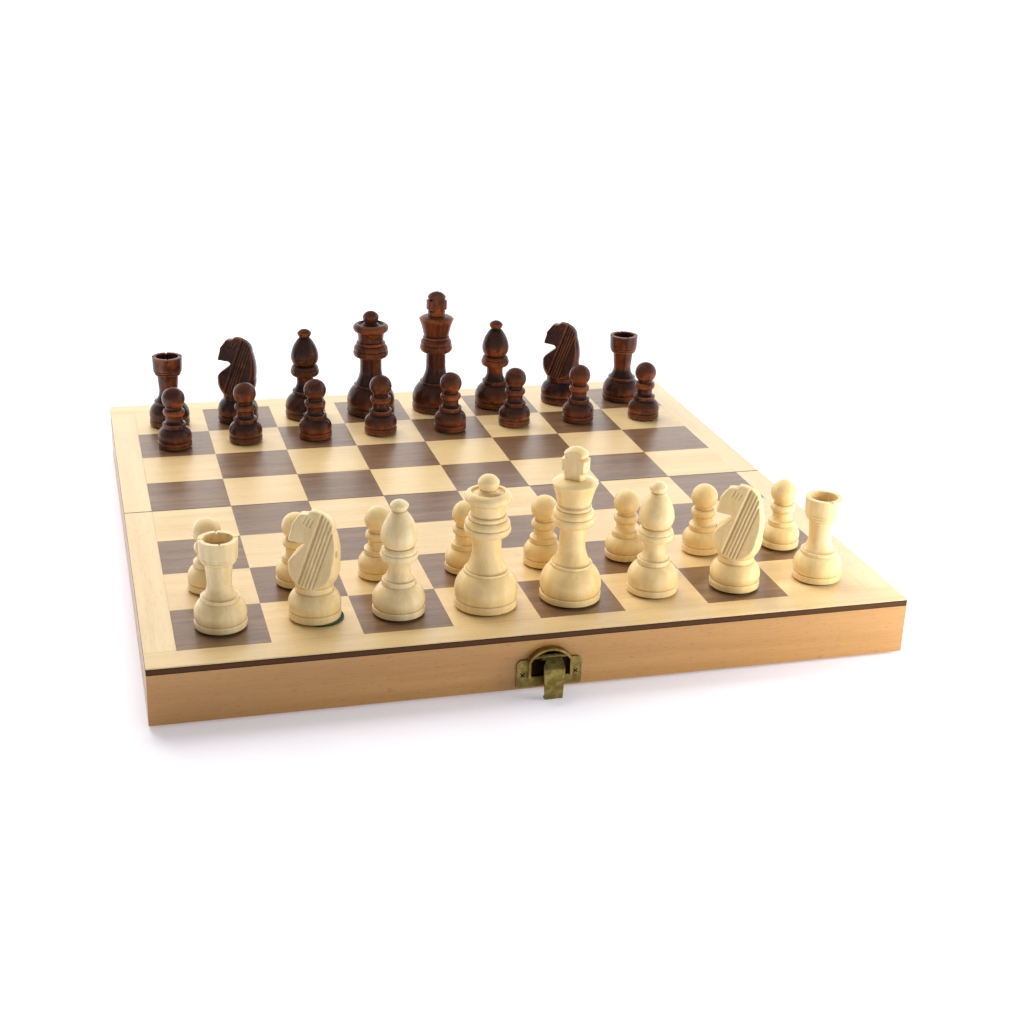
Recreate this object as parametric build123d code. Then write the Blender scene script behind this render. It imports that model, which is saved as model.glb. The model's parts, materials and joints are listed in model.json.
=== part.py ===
from build123d import *
import os
from math import atan2, degrees, sqrt

# A folding chess box: two shallow wooden trays hinged along the middle of the board, a swinging
# brass hook on the front, and thirty-two wooden pieces set up to play. Millimetres, +Z up, +Y to
# the rear; x runs along the fold. The trays lie open, playing surface up, on their hinge knuckles.

# Playing surface
square = 33.4
side_border = 11.5
end_border = 12.0
veneer = 0.5
core = 2.3
seam_gap = 0.4

# Tray rails and lining
rail_h = 19.6
rail_t = 7.5
lining = 0.8

# Hinges
knuckle_r = 1.2
pin_r = 0.6
hinge_fit = 0.05
leaf_len = 26.0
leaf_w = 7.0
leaf_t = 0.9
knuckle_gap = 0.2
barrel_room = 0.3
hinge_inset = 48.0
closed_gap = 0.1
cut_past = 1.0
leaf_screw_pitch = 15.0
leaf_screw_y = 4.4
leaf_screw_r = 0.9
leaf_screw_head_r = 1.7
leaf_screw_len = 7.0
seat_fit = 0.04

# Catch plate on the front rail
plate_w = 25.0
plate_t = 1.0
plate_lift = 1.2
ear_h = 10.9
ear_corner_r = 2.4
arch_w = 16.8
arch_rise = 4.9
rim_t = 0.9
rim_out = 1.9
window_sill = 3.9
catch_screw_x = 10.2
catch_screw_z = 4.9
catch_screw_r = 0.9
catch_screw_head_r = 1.6
catch_screw_head_h = 0.9
catch_screw_len = 5.5
cross_w = 0.5
cross_span = 2.2

# Swinging hook
pivot_out = 1.9
pivot_up = 13.5
hook_pin_r = 0.7
hook_pin_fit = 0.06
hook_pin_len = 13.8
eye_r = 1.5
eye_len = 7.6
hook_t = 0.9
hook_reach = 7.9
knee_r = 1.2
knee_drop = 0.9
tab_w = 8.0
tab_taper = 0.6
tip_over_floor = 0.25
lip_t = 0.6
lip_in = 1.2
arm_slant = 3.2

# Keeper on the rear rail
keeper_h = 9.0
nose_w = 11.0
nose_t = 0.5
nose_reach = 3.85
nose_gap = 0.22

# Turned pieces: base diameter, then heights of the bands from the felt up
felt_t = 0.7
felt_inset = 1.2
felt_slip = 2.0
groove = 0.45
step_out = 0.35
foot_belly = 0.2
ring_ledge = 0.6
collar_swell = 0.7
collar_groove = 0.25
collar_belly = 0.18

pawn_base_d = 15.8
pawn_foot_h = 2.7
pawn_bell_h = 6.4
pawn_bell_belly = 0.19
pawn_ring_d = 10.9
pawn_ring_h = 2.2
pawn_flare_h = 1.9
pawn_flare_hollow = -0.15
pawn_neck_d = 7.8
pawn_neck_h = 1.9
pawn_collar_d = 8.9
pawn_collar_h = 3.0
pawn_collar_out = 0.6
pawn_throat_d = 7.4
pawn_throat_h = 1.15
pawn_ball_d = 10.7

rook_base_d = 19.3
rook_foot_h = 2.55
rook_bell_h = 7.75
rook_bell_belly = 0.16
rook_ring_d = 14.1
rook_ring_h = 1.4
rook_flare_h = 6.8
rook_flare_hollow = -0.12
rook_waist_d = 9.2
rook_stem_h = 6.4
rook_neck_d = 10.2
rook_cove_d = 12.0
rook_cove_h = 1.3
rook_bead_d = 13.0
rook_bead_h = 1.15
rook_turret_d = 13.9
rook_rim_d = 14.4
rook_turret_h = 6.5
rook_cup_d = 10.8
rook_cup_h = 4.6
notch_w = 1.1

knight_base_d = 19.6
knight_foot_h = 2.85
knight_bell_h = 7.65
knight_bell_belly = 0.18
knight_neck_d = 14.0
knight_neck_h = 2.4
knight_head_foot_d = 14.4
knight_chest_d = 19.0
knight_chest_up = 8.2
knight_nape_d = 16.2
knight_nape_up = 21.1
knight_crest_d = 11.8
knight_crest_up = 26.1
knight_head_h = 28.3
chest_belly = 0.1
nape_belly = 0.06
crest_belly = 0.12
flat_foot_t = 14.4
flat_top_t = 3.4
jaw_up = 17.6
jaw_slope = 0.6
jaw_corner_out = 3.0
throat_out = 1.9
throat_up = 15.8
chest_corner_out = 7.2
chest_corner_up = 11.6
chest_point_out = 9.4
chest_point_up = 8.5
muzzle_out = 8.5
nose_up = 22.2
forelock_out = 4.6
forelock_up = 27.4
poll_out = 1.3
poll_rise = 0.2
poll_slant = 0.8
mane_count = 4
mane_pitch = 1.37
mane_depth = 0.5
parting_depth = 0.85
mane_out = 1.6
mane_up = 11.0
mane_lean = 17.4
fringe_count = 3
fringe_len = 3.6
fringe_depth = 0.35
fringe_out = 0.2
fringe_up = 24.8
fringe_lean = 25.0
eye_out = 1.95
eye_up = 21.7
eye_r = 1.3
eye_ring_t = 0.4
turn_b = -22.0
turn_g = -32.0

bishop_base_d = 19.8
bishop_foot_h = 2.6
bishop_bell_h = 8.7
bishop_bell_belly = 0.18
bishop_ring_d = 12.7
bishop_ring_h = 2.0
bishop_flare_h = 5.3
bishop_flare_hollow = -0.1
bishop_waist_d = 8.2
bishop_stem_h = 2.3
bishop_neck_d = 8.8
bishop_collar_d = 13.8
bishop_collar_h = 3.1
bishop_cap_d = 11.2
bishop_cap_h = 2.1
bishop_throat_d = 10.2
bishop_mitre_d = 13.6
bishop_mitre_low = 5.4
bishop_mitre_high = 8.8
bishop_cup_belly = 0.12
bishop_mitre_belly = 0.08
bishop_button_neck_d = 4.8
bishop_button_d = 7.0
bishop_button_low = 2.2
bishop_button_h = 1.9

queen_base_d = 24.0
queen_foot_h = 3.0
queen_bell_h = 10.5
queen_bell_belly = 0.15
queen_ring_d = 17.0
queen_ring_h = 0.9
queen_flare_h = 8.6
queen_flare_hollow = -0.07
queen_waist_d = 10.9
queen_stem_h = 5.7
queen_neck_d = 10.8
queen_collar_d = 17.2
queen_collar_h = 3.1
queen_cap_d = 15.0
queen_cap_h = 2.8
queen_step_d = 14.0
queen_step_h = 1.7
queen_crown_foot_d = 12.9
queen_crown_d = 14.0
queen_crown_h = 5.0
queen_crown_hollow = -0.06
queen_rim_foot_d = 14.8
queen_rim_h = 4.1
queen_rim_belly = 0.475
queen_dish_d = 12.8
queen_dish_edge_d = 12.2
queen_dish_drop = 0.8
queen_dish_rise = 1.65
queen_dish_hollow = -0.15
queen_throat_d = 6.4
queen_finial_d = 8.0
queen_finial_h = 3.15
queen_finial_belly = 0.1
queen_finial_dome = 2.5

king_base_d = 23.5
king_foot_h = 2.7
king_bell_h = 10.7
king_bell_belly = 0.155
king_ring_d = 16.0
king_ring_h = 1.0
king_flare_h = 9.6
king_flare_hollow = -0.08
king_waist_d = 10.0
king_stem_h = 5.8
king_neck_d = 9.7
king_collar_d = 15.8
king_collar_h = 3.5
king_cap_d = 13.8
king_cap_h = 2.9
king_step_d = 12.9
king_step_h = 1.5
king_crown_foot_d = 12.6
king_crown_h = 9.0
king_crown_d = 17.6
king_crown_hollow = -0.03
king_shoulder_belly = 0.12
king_shoulder_h = 1.5
king_throat_d = 8.6
cross_d = 10.5
cross_h = 12.4
cross_t = 6.4
cross_foot_d = 8.8
cross_groove_d = 7.7
cross_cap_d = 9.2
cross_cap_h = 0.8
cross_groove_w = 1.4
cross_low_groove_up = 2.9
cross_high_groove_up = 8.5
king_turn = -39.0

# How far the set stands off its squares' middles, and the pieces that stand further off
drift_x = -0.7
drift_y = -0.9
near_slip = 1.2
far_slip = 2.3

# Places worked out from the sizes
width = 8 * square + 2 * side_border
half_depth = 4 * square + end_border
seam = seam_gap / 2
edge_z = knuckle_r + closed_gap
rail_top = edge_z + rail_h
core_top = rail_top + core
board_top = core_top + veneer
front_y = -(seam + half_depth)
balance_y = (hook_reach - nose_reach) / 2
head_rise = groove + knight_head_h
files = "abcdefgh"


def bar(x0, x1, y0, y1, z0, z1):
    """A straight block between two corners."""
    return Pos((x0 + x1) / 2, (y0 + y1) / 2, (z0 + z1) / 2) * Box(x1 - x0, y1 - y0, z1 - z0)


def rod(r, x0, x1, y, z):
    """A round bar along x."""
    return Pos((x0 + x1) / 2, y, z) * Rot(0, 90, 0) * Cylinder(r, x1 - x0)


def peg(r, x, y, z0, z1):
    """A round bar along z."""
    return Pos(x, y, (z0 + z1) / 2) * Cylinder(r, z1 - z0)


def to_rear(shape):
    """The front half's twin, turned about the fold to the rear side."""
    return Rot(0, 0, 180) * shape


def save(name, *shapes):
    """Write one node, moved so that the whole box stands centred on its origin."""
    solids = [s for shape in shapes for s in shape.solids()]
    whole = Compound(children=[Pos(0, balance_y, 0) * s for s in solids])
    export_step(whole, f"parts/{name}.step")


class Lathe:
    """Half the outline of a turned piece, built upwards from the middle of its foot."""

    def __init__(self, r, z=0.0):
        self.edges = [Line((0, z), (r, z))]
        self.r, self.z = r, z

    def _to(self, edge, r, z):
        self.edges.append(edge)
        self.r, self.z = r, z
        return self

    def step(self, r):
        """A flat ledge in or out to radius r."""
        return self._to(Line((self.r, self.z), (r, self.z)), r, self.z)

    def side(self, r, rise):
        """A straight side to radius r, climbing by rise."""
        return self._to(Line((self.r, self.z), (r, self.z + rise)), r, self.z + rise)

    def curve(self, r, rise, belly):
        """An arc to radius r: belly is its height over the chord, as a share of the chord."""
        dr = r - self.r
        mid = (self.r + dr / 2 + belly * rise, self.z + rise / 2 - belly * dr)
        return self._to(ThreePointArc((self.r, self.z), mid, (r, self.z + rise)), r, self.z + rise)

    def bead(self, rise, out):
        """A rounded ring that ends at the radius where it began."""
        return self.curve(self.r, rise, out / rise)

    def ball(self, d, r_end=0.0):
        """A ball seated on the current radius, up to its pole or to a smaller circle."""
        r = d / 2
        centre = self.z + sqrt(r * r - self.r * self.r)
        top = centre + sqrt(r * r - r_end * r_end)
        return self._to(ThreePointArc((self.r, self.z), (r, centre), (r_end, top)), r_end, top)

    def dome(self, rise):
        """A round cap, level at its pole."""
        ball_r = (self.r * self.r + rise * rise) / (2 * rise)
        x = self.r / 2
        y = self.z + rise - ball_r + sqrt(ball_r * ball_r - x * x)
        return self._to(ThreePointArc((self.r, self.z), (x, y), (0, self.z + rise)), 0, self.z + rise)

    def solid(self):
        """Close the outline on the axis and turn it."""
        if self.r > 0:
            self.edges.append(Line((self.r, self.z), (0, self.z)))
        self.edges.append(Line((0, self.z), (0, self.edges[0].start_point().Y)))
        return revolve(Plane.XZ * make_face(Curve() + self.edges), Axis.Z)


def half_outline(x0, x1, y0, y1):
    """A mitred rail's plan: its ends are cut back by its own width."""
    t = y1 - y0
    points = [(x0, y0), (x1, y0), (x1 - t, y1), (x0 + t, y1)]
    return make_face(Polyline(*points, close=True))


def rail(length, centre, turn):
    """One mitred rail with its outer face at -y before it is turned and placed."""
    plan = half_outline(-length / 2, length / 2, 0, rail_t)
    return Pos(centre[0], centre[1], edge_z) * Rot(0, 0, turn) * extrude(plan, rail_h)


def hinge_places():
    """Where the two hinges sit along the fold."""
    return [-width / 2 + hinge_inset, width / 2 - hinge_inset]


def leaf_screw_xs():
    """The four screws of one tray's two leaves."""
    return [c + s * leaf_screw_pitch / 2 for c in hinge_places() for s in (-1, 1)]


def knuckles(centre, outer):
    """The x spans of one leaf's knuckles: the two outer ones, or the middle one."""
    third = leaf_len / 3
    spans = [(centre + (i - 1.5) * third, centre + (i - 0.5) * third) for i in range(3)]
    kept = [spans[0], spans[2]] if outer else [spans[1]]
    return [(a + knuckle_gap / 2, b - knuckle_gap / 2) for a, b in kept]


def flat_screw(x, y, fit):
    """A countersunk screw driven up into a rail's open edge; fit opens it into its hole."""
    head = Cone(leaf_screw_head_r + fit, leaf_screw_r + fit, leaf_t)
    shank = peg(leaf_screw_r + fit, x, y, edge_z + leaf_t, edge_z + leaf_screw_len + fit)
    return Pos(x, y, edge_z + leaf_t / 2) * head + shank


def tray():
    """The panel, veneers, rails and lining of the front half, by node."""
    y0, y1 = front_y, -seam
    panel = bar(-width / 2, width / 2, y0, y1, rail_top, core_top)
    grid_y = y1 - 4 * square
    light, dark = [], []
    for i in range(8):
        for j in range(4):
            x, y = (i - 4) * square, grid_y + j * square
            tile = bar(x, x + square, y, y + square, core_top, board_top)
            (dark if (i + j) % 2 == 0 else light).append(tile)
    inner = width / 2 - side_border
    border = [bar(-width / 2, width / 2, y0, grid_y, core_top, board_top)]
    border += [bar(s, s + side_border, grid_y, y1, core_top, board_top) for s in (-width / 2, inner)]
    front = rail(width, (0, y0), 0)
    back = rail(width, (0, y1), 180)
    depth, middle = y1 - y0, (y0 + y1) / 2
    sides = [rail(depth, (-width / 2, middle), -90), rail(depth, (width / 2, middle), 90)]
    back = hinge_seats(back)
    felt = bar(-width / 2 + rail_t, width / 2 - rail_t, y0 + rail_t, y1 - rail_t,
               rail_top - lining, rail_top)
    return {"board_core": [panel], "light_squares": light, "dark_squares": dark, "border": border,
            "outer_rail": [front], "hinge_rail": [back], "side_rails": sides, "lining": [felt]}


def hinge_seats(back):
    """Cut the leaf mortises, barrel room and screw holes into the fold's rail."""
    room = knuckle_r + barrel_room
    for c in hinge_places():
        half = leaf_len / 2
        back -= bar(c - half, c + half, -leaf_w - seat_fit, 0, edge_z - cut_past, edge_z + leaf_t)
        back -= bar(c - half - barrel_room, c + half + barrel_room, -room, 0,
                    edge_z - cut_past, knuckle_r + room)
    for x in leaf_screw_xs():
        back -= peg(leaf_screw_r + seat_fit, x, -leaf_screw_y, edge_z, edge_z + leaf_screw_len)
    return back


def hinge_leaves(outer):
    """The front tray's two leaves, each with its own knuckles, clear of the other leaf's."""
    leaves = []
    for c in hinge_places():
        half = leaf_len / 2
        leaf = bar(c - half, c + half, -leaf_w, -knuckle_r - barrel_room, edge_z, edge_z + leaf_t)
        for a, b in knuckles(c, outer):
            leaf += bar(a, b, -knuckle_r - barrel_room, 0, edge_z, edge_z + leaf_t)
            leaf += rod(knuckle_r, a, b, 0, knuckle_r)
        bore = pin_r + (0 if outer else hinge_fit)
        leaf -= rod(bore, c - half, c + half, 0, knuckle_r)
        for s in (-1, 1):
            leaf -= flat_screw(c + s * leaf_screw_pitch / 2, -leaf_screw_y, seat_fit)
        leaves.append(leaf)
    return leaves


def arch_outline(grow, foot):
    """The arch over the hook, from foot up, grown outwards or shrunk by grow."""
    half, spring, crown = arch_w / 2, ear_h, ear_h + arch_rise
    r = (half * half + arch_rise * arch_rise) / (2 * arch_rise)
    middle = crown - r
    r, half = r + grow, half + grow
    shoulder = middle + sqrt(r * r - half * half)
    arc = ThreePointArc((-half, shoulder), (0, middle + r), (half, shoulder))
    legs = Polyline((half, shoulder), (half, foot), (-half, foot), (-half, shoulder))
    return make_face(Curve() + [arc, legs])


def on_front(shape):
    """Stand a drawing made in x and up on the front rail's face, its thickness outwards."""
    return Pos(0, front_y, edge_z + plate_lift) * Rot(90, 0, 0) * shape


def ears(w, h):
    """A plate's outline with rounded top corners, from its lower edge up."""
    corner = ear_corner_r
    outline = Pos(0, h / 2) * Rectangle(w, h)
    return fillet(outline.vertices().sort_by(Axis.Y)[-2:], corner)


def catch_plate():
    """The brass plate: two screwed ears and a raised rim round the arched window of the hook."""
    plate = ears(plate_w, ear_h) + arch_outline(0, 0)
    plate = extrude(plate, plate_t)
    rim = extrude(arch_outline(0, window_sill) - arch_outline(-rim_t, window_sill), plate_t + rim_out)
    plate = on_front(plate + rim - extrude(arch_outline(-rim_t, window_sill), plate_t))
    plate -= hook_axis_rod(hook_pin_r, hook_pin_len)
    for s in (-1, 1):
        plate -= catch_screw(s * catch_screw_x, catch_screw_z + plate_lift, seat_fit)
    return plate


def hook_axis_rod(r, length):
    """A round bar on the hook's pivot line."""
    return rod(r, -length / 2, length / 2, front_y - pivot_out, edge_z + pivot_up)


def catch_screw(x, up, fit):
    """A screw through a plate into the rail behind it; fit opens it into its hole."""
    reach = catch_screw_head_h - plate_t
    head = Cone(catch_screw_r + fit, catch_screw_head_r + fit, catch_screw_head_h)
    head = Pos(0, 0, plate_t - catch_screw_head_h / 2) * head
    shank = Pos(0, 0, -(catch_screw_len + reach) / 2) * Cylinder(
        catch_screw_r + fit, catch_screw_len - reach)
    return Pos(x, front_y, edge_z + up) * Rot(90, 0, 0) * (head + shank)


def crossed(screw, x, up):
    """Sink a cross into a screw's head."""
    cross = Box(cross_span, cross_w, cross_w) + Box(cross_w, cross_span, cross_w)
    return screw - Pos(x, front_y - plate_t, edge_z + up) * Rot(90, 0, 0) * Rot(0, 0, 45) * cross


def catch_hook():
    """One bent strip: an eye round the pin, an arm, a hanging tab and the lip that grips."""
    y_pin, z_pin = -pivot_out, edge_z + pivot_up
    out, inside = -hook_reach, hook_t - hook_reach
    knee_z = z_pin - knee_drop
    tip = tip_over_floor
    spine = Polyline((y_pin, z_pin + hook_t / 2), (out, knee_z + hook_t / 2), (out, tip),
                     (inside + lip_in, tip), (inside + lip_in, tip + lip_t), (inside, tip + lip_t),
                     (inside, knee_z - hook_t / 2), (y_pin, z_pin - hook_t / 2), close=True)
    strip = Plane.YZ * make_face(spine)
    strip = extrude(strip, tab_w / 2, both=True)
    knee = strip.edges().filter_by(Axis.X).sort_by(Axis.Z)[-3:].sort_by(Axis.Y)[:1]
    strip = fillet(knee, knee_r)
    strip -= tab_trims(tip, knee_z) + arm_trims(y_pin, inside)
    eye = rod(eye_r, -eye_len / 2, eye_len / 2, y_pin, z_pin)
    hook = Pos(0, front_y, 0) * (strip + eye)
    return hook - hook_axis_rod(hook_pin_r + hook_pin_fit, hook_pin_len)


def tab_trims(tip, knee_z):
    """Wedges that narrow the hanging tab towards its tip."""
    far = hook_reach + hook_t
    wedge = Polyline((tab_w / 2, knee_z), (tab_w / 2 + tab_taper, knee_z),
                     (tab_w / 2 + tab_taper, tip - hook_t), (tab_w / 2 - tab_taper, tip - hook_t),
                     close=True)
    wedge = extrude(Plane.XZ * make_face(wedge), far)
    return wedge + mirror(wedge, Plane.YZ)


def arm_trims(y_pin, inside):
    """The strip is narrower at its eye than at its knee, and more so on the left."""
    left = Polyline((-tab_w, y_pin), (-tab_w, inside), (-tab_w / 2, inside),
                    (arm_slant - tab_w / 2, y_pin), close=True)
    right = Polyline((tab_w, y_pin), (tab_w, inside), (tab_w / 2, inside),
                     (eye_len / 2, y_pin), close=True)
    z = edge_z + pivot_up - hook_reach / 2
    return Pos(0, 0, z) * (extrude(make_face(left), hook_reach) + extrude(make_face(right), hook_reach))


def keeper_plate():
    """The brass plate on the other tray, with the nose that the hook's lip grips."""
    low = 2 * knuckle_r - (knuckle_r - nose_gap)
    plate = Pos(0, front_y, low) * Rot(90, 0, 0) * extrude(ears(plate_w, keeper_h), plate_t)
    plate += bar(-nose_w / 2, nose_w / 2, front_y - nose_reach, front_y, low, low + nose_t)
    for s in (-1, 1):
        plate -= catch_screw(s * catch_screw_x, catch_screw_z + plate_lift, seat_fit)
    return plate


def catch_screws():
    """The two screws of one brass plate, with their crosses."""
    up = catch_screw_z + plate_lift
    return [crossed(catch_screw(s * catch_screw_x, up, 0), s * catch_screw_x, up) for s in (-1, 1)]


def drilled(outer_rail):
    """The outer rail with the holes of its plate's screws."""
    for s in (-1, 1):
        outer_rail -= catch_screw(s * catch_screw_x, catch_screw_z + plate_lift, seat_fit)
    return outer_rail


def pedestal(base_d, foot_h, bell_h, bell_belly, ring_d, ring_h):
    """The foot, groove, bell and ring that every piece stands on."""
    r = base_d / 2
    lathe = Lathe(r - groove).curve(r, groove, foot_belly).side(r, foot_h - 2 * groove)
    lathe.curve(r - groove, groove, foot_belly).curve(ring_d / 2, bell_h, bell_belly)
    return lathe.side(ring_d / 2, ring_h).step(ring_d / 2 - ring_ledge)


def stem(lathe, flare_h, flare_hollow, waist_d, h, neck_d):
    """A hollow flare up from the ring to the waist, then an almost straight neck."""
    return lathe.curve(waist_d / 2, flare_h, flare_hollow).side(neck_d / 2, h)


def pawn():
    """Ball on a thick collar over a short hollow stem."""
    lathe = pedestal(pawn_base_d, pawn_foot_h, pawn_bell_h, pawn_bell_belly, pawn_ring_d, pawn_ring_h)
    stem(lathe, pawn_flare_h, pawn_flare_hollow, pawn_neck_d, pawn_neck_h, pawn_neck_d)
    lathe.step(pawn_collar_d / 2).bead(pawn_collar_h, pawn_collar_out).step(pawn_throat_d / 2)
    return lathe.side(pawn_throat_d / 2, pawn_throat_h).ball(pawn_ball_d).solid()


def rook():
    """Waisted tower with a cupped, notched turret on two beads."""
    lathe = pedestal(rook_base_d, rook_foot_h, rook_bell_h, rook_bell_belly, rook_ring_d, rook_ring_h)
    stem(lathe, rook_flare_h, rook_flare_hollow, rook_waist_d, rook_stem_h, rook_neck_d)
    lathe.step(rook_cove_d / 2).bead(rook_cove_h, step_out)
    lathe.step(rook_bead_d / 2).bead(rook_bead_h, step_out)
    lathe.step(rook_turret_d / 2).side(rook_rim_d / 2, rook_turret_h)
    lathe.step(rook_cup_d / 2).side(rook_cup_d / 2 - step_out, -rook_cup_h)
    tower = lathe.solid()
    top = max(v.Z for v in tower.vertices())
    for turn in (0, 90):
        bar_notch = Rot(0, 0, turn) * Rot(0, 45, 0) * Box(notch_w, rook_rim_d * 2, notch_w)
        tower -= Pos(0, 0, top) * bar_notch
    return tower


def collared(lathe, d, h, cap_d, cap_h):
    """A collar: a swelling ring, a groove, and a second ring that tapers like a cap."""
    r = d / 2
    lathe.step(r - collar_swell).curve(r, h, collar_belly).step(r - collar_groove)
    return lathe.curve(cap_d / 2, cap_h, collar_belly)


def bishop():
    """Pear mitre with a button over a double ring."""
    lathe = pedestal(bishop_base_d, bishop_foot_h, bishop_bell_h, bishop_bell_belly, bishop_ring_d,
                     bishop_ring_h)
    stem(lathe, bishop_flare_h, bishop_flare_hollow, bishop_waist_d, bishop_stem_h, bishop_neck_d)
    collared(lathe, bishop_collar_d, bishop_collar_h, bishop_cap_d, bishop_cap_h)
    lathe.step(bishop_throat_d / 2).curve(bishop_mitre_d / 2, bishop_mitre_low, bishop_cup_belly)
    lathe.curve(bishop_button_neck_d / 2, bishop_mitre_high, bishop_mitre_belly)
    lathe.curve(bishop_button_d / 2, bishop_button_low, bishop_cup_belly)
    return lathe.dome(bishop_button_h).solid()


def queen():
    """Coronet with a thick round rim, dished on top, and a domed finial."""
    lathe = pedestal(queen_base_d, queen_foot_h, queen_bell_h, queen_bell_belly, queen_ring_d,
                     queen_ring_h)
    stem(lathe, queen_flare_h, queen_flare_hollow, queen_waist_d, queen_stem_h, queen_neck_d)
    collared(lathe, queen_collar_d, queen_collar_h, queen_cap_d, queen_cap_h)
    lathe.step(queen_step_d / 2).bead(queen_step_h, step_out).step(queen_crown_foot_d / 2)
    lathe.curve(queen_crown_d / 2, queen_crown_h, queen_crown_hollow).step(queen_rim_foot_d / 2)
    lathe.curve(queen_dish_d / 2, queen_rim_h, queen_rim_belly)
    lathe.side(queen_dish_edge_d / 2, -queen_dish_drop)
    lathe.curve(queen_throat_d / 2, queen_dish_rise, queen_dish_hollow)
    lathe.curve(queen_finial_d / 2, queen_finial_h, queen_finial_belly)
    return lathe.dome(queen_finial_dome).solid()


def king():
    """Conical crown carrying a flat-sided cross."""
    lathe = pedestal(king_base_d, king_foot_h, king_bell_h, king_bell_belly, king_ring_d, king_ring_h)
    stem(lathe, king_flare_h, king_flare_hollow, king_waist_d, king_stem_h, king_neck_d)
    collared(lathe, king_collar_d, king_collar_h, king_cap_d, king_cap_h)
    lathe.step(king_step_d / 2).bead(king_step_h, step_out).step(king_crown_foot_d / 2)
    lathe.curve(king_crown_d / 2, king_crown_h, king_crown_hollow)
    lathe.curve(king_throat_d / 2, king_shoulder_h, king_shoulder_belly)
    return lathe.solid() + Pos(0, 0, lathe.z) * king_cross()


def king_cross():
    """A turned button, grooved above and below its arms and cut flat on two sides."""
    half_w = cross_groove_w / 2
    lathe = Lathe(king_throat_d / 2).side(cross_foot_d / 2, cross_low_groove_up - half_w)
    lathe.side(cross_groove_d / 2, half_w).side(cross_d / 2, half_w)
    lathe.side(cross_d / 2, cross_high_groove_up - cross_low_groove_up - cross_groove_w)
    lathe.side(cross_groove_d / 2, half_w).side(cross_cap_d / 2, half_w)
    lathe.side(cross_cap_d / 2, cross_cap_h)
    cross = lathe.dome(cross_h - lathe.z).solid()
    return cross & Pos(0, 0, cross_h / 2) * Box(cross_d, cross_t, cross_h)


def knight():
    """A turned egg, cut flat on two leaning sides and carved into a horse's head, on its pedestal."""
    lathe = pedestal(knight_base_d, knight_foot_h, knight_bell_h, knight_bell_belly, knight_neck_d,
                     knight_neck_h)
    z = lathe.z
    body = lathe.side(lathe.r, groove).solid()
    egg = Lathe(knight_head_foot_d / 2, z + groove)
    egg.curve(knight_chest_d / 2, knight_chest_up, chest_belly)
    egg.curve(knight_nape_d / 2, knight_nape_up - knight_chest_up, nape_belly)
    egg.curve(knight_crest_d / 2, knight_crest_up - knight_nape_up, crest_belly)
    egg = egg.dome(knight_head_h - knight_crest_up).solid()
    head = (egg & leaning_slab(z)) - throat(z) - brow(z)
    for side in (-1, 1):
        for cut in mane() + fringe() + [eye_ring()]:
            head -= on_flat(side, z) * cut
    return body + head


def leaning_slab(z):
    """What the two leaning flats leave of the head."""
    foot, top, high = flat_foot_t / 2, flat_top_t / 2, z + head_rise
    outline = Polyline((-foot, z), (foot, z), (top, high), (-top, high), close=True)
    return extrude(Plane.YZ * make_face(outline), knight_chest_d, both=True)


def on_flat(side, z):
    """The place on one flat of the head, at its foot: x across, z up along the leaning flat."""
    lean = degrees(atan2((flat_foot_t - flat_top_t) / 2, head_rise))
    return Pos(0, side * flat_foot_t / 2, z) * Rot(side * lean, 0, 0)


def prism(*points):
    """A carving cut right across the head, drawn in its side view."""
    return extrude(Plane.XZ * make_face(Polyline(*points, close=True)), knight_chest_d, both=True)


def throat(z):
    """The wedge under the jaw, from the corner of the mouth out to the chest."""
    far, jaw, chest = -knight_chest_d, z + jaw_up, z + chest_point_up
    return prism((far, jaw), (-muzzle_out, jaw), (-jaw_corner_out, jaw - jaw_slope),
                 (-throat_out, z + throat_up), (-chest_corner_out, z + chest_corner_up),
                 (-chest_point_out, chest), (far, chest))


def brow(z):
    """The flat down the nose from the forelock to the muzzle, and the step behind the forelock."""
    far, high, poll = -knight_chest_d, z + head_rise + groove, z + forelock_up + poll_rise
    return prism((far, z + nose_up), (-muzzle_out, z + nose_up), (-forelock_out, z + forelock_up),
                 (-poll_out, poll), (poll_slant - poll_out, high), (far, high))


def furrow(depth, length):
    """A straight groove with a sharp bottom, along z."""
    return Rot(0, 0, 45) * Box(sqrt(2) * depth, sqrt(2) * depth, length)


def mane():
    """The deep parting on one flat and the finer furrows behind it."""
    place = Pos(-mane_out, 0, mane_up) * Rot(0, mane_lean, 0)
    cuts = [place * furrow(parting_depth, 2 * head_rise)]
    for i in range(mane_count):
        cuts.append(place * Pos((i + 1) * mane_pitch, 0, 0) * furrow(mane_depth, 2 * head_rise))
    return cuts


def fringe():
    """The forelock's short furrows on one flat, in front of the parting."""
    place = Pos(-fringe_out, 0, fringe_up) * Rot(0, fringe_lean, 0)
    return [place * Pos(-i * mane_pitch, 0, 0) * furrow(fringe_depth, fringe_len)
            for i in range(fringe_count)]


def eye_ring():
    """A shallow ring for the eye, on one flat."""
    ring = Cylinder(eye_r, 2 * eye_ring_t) - Cylinder(eye_r - eye_ring_t, 2 * eye_ring_t)
    return Pos(-eye_out, 0, eye_up) * Rot(90, 0, 0) * ring


def stand(shape, base_d, i, rank, turn=0.0, slip=0.0, off=(0, 0)):
    """A finished piece on its felt, near the middle of a square of the board."""
    felt = Pos(slip, -slip / 2, felt_t / 2) * Cylinder(base_d / 2 - felt_inset, felt_t)
    x = (i - 3.5) * square + drift_x + off[0]
    y = (rank - 3.5) * square + (seam if rank > 3 else -seam) + drift_y + off[1]
    place = Pos(x, y, board_top)
    return [place * felt, place * Rot(0, 0, turn) * Pos(0, 0, felt_t) * shape]


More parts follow.
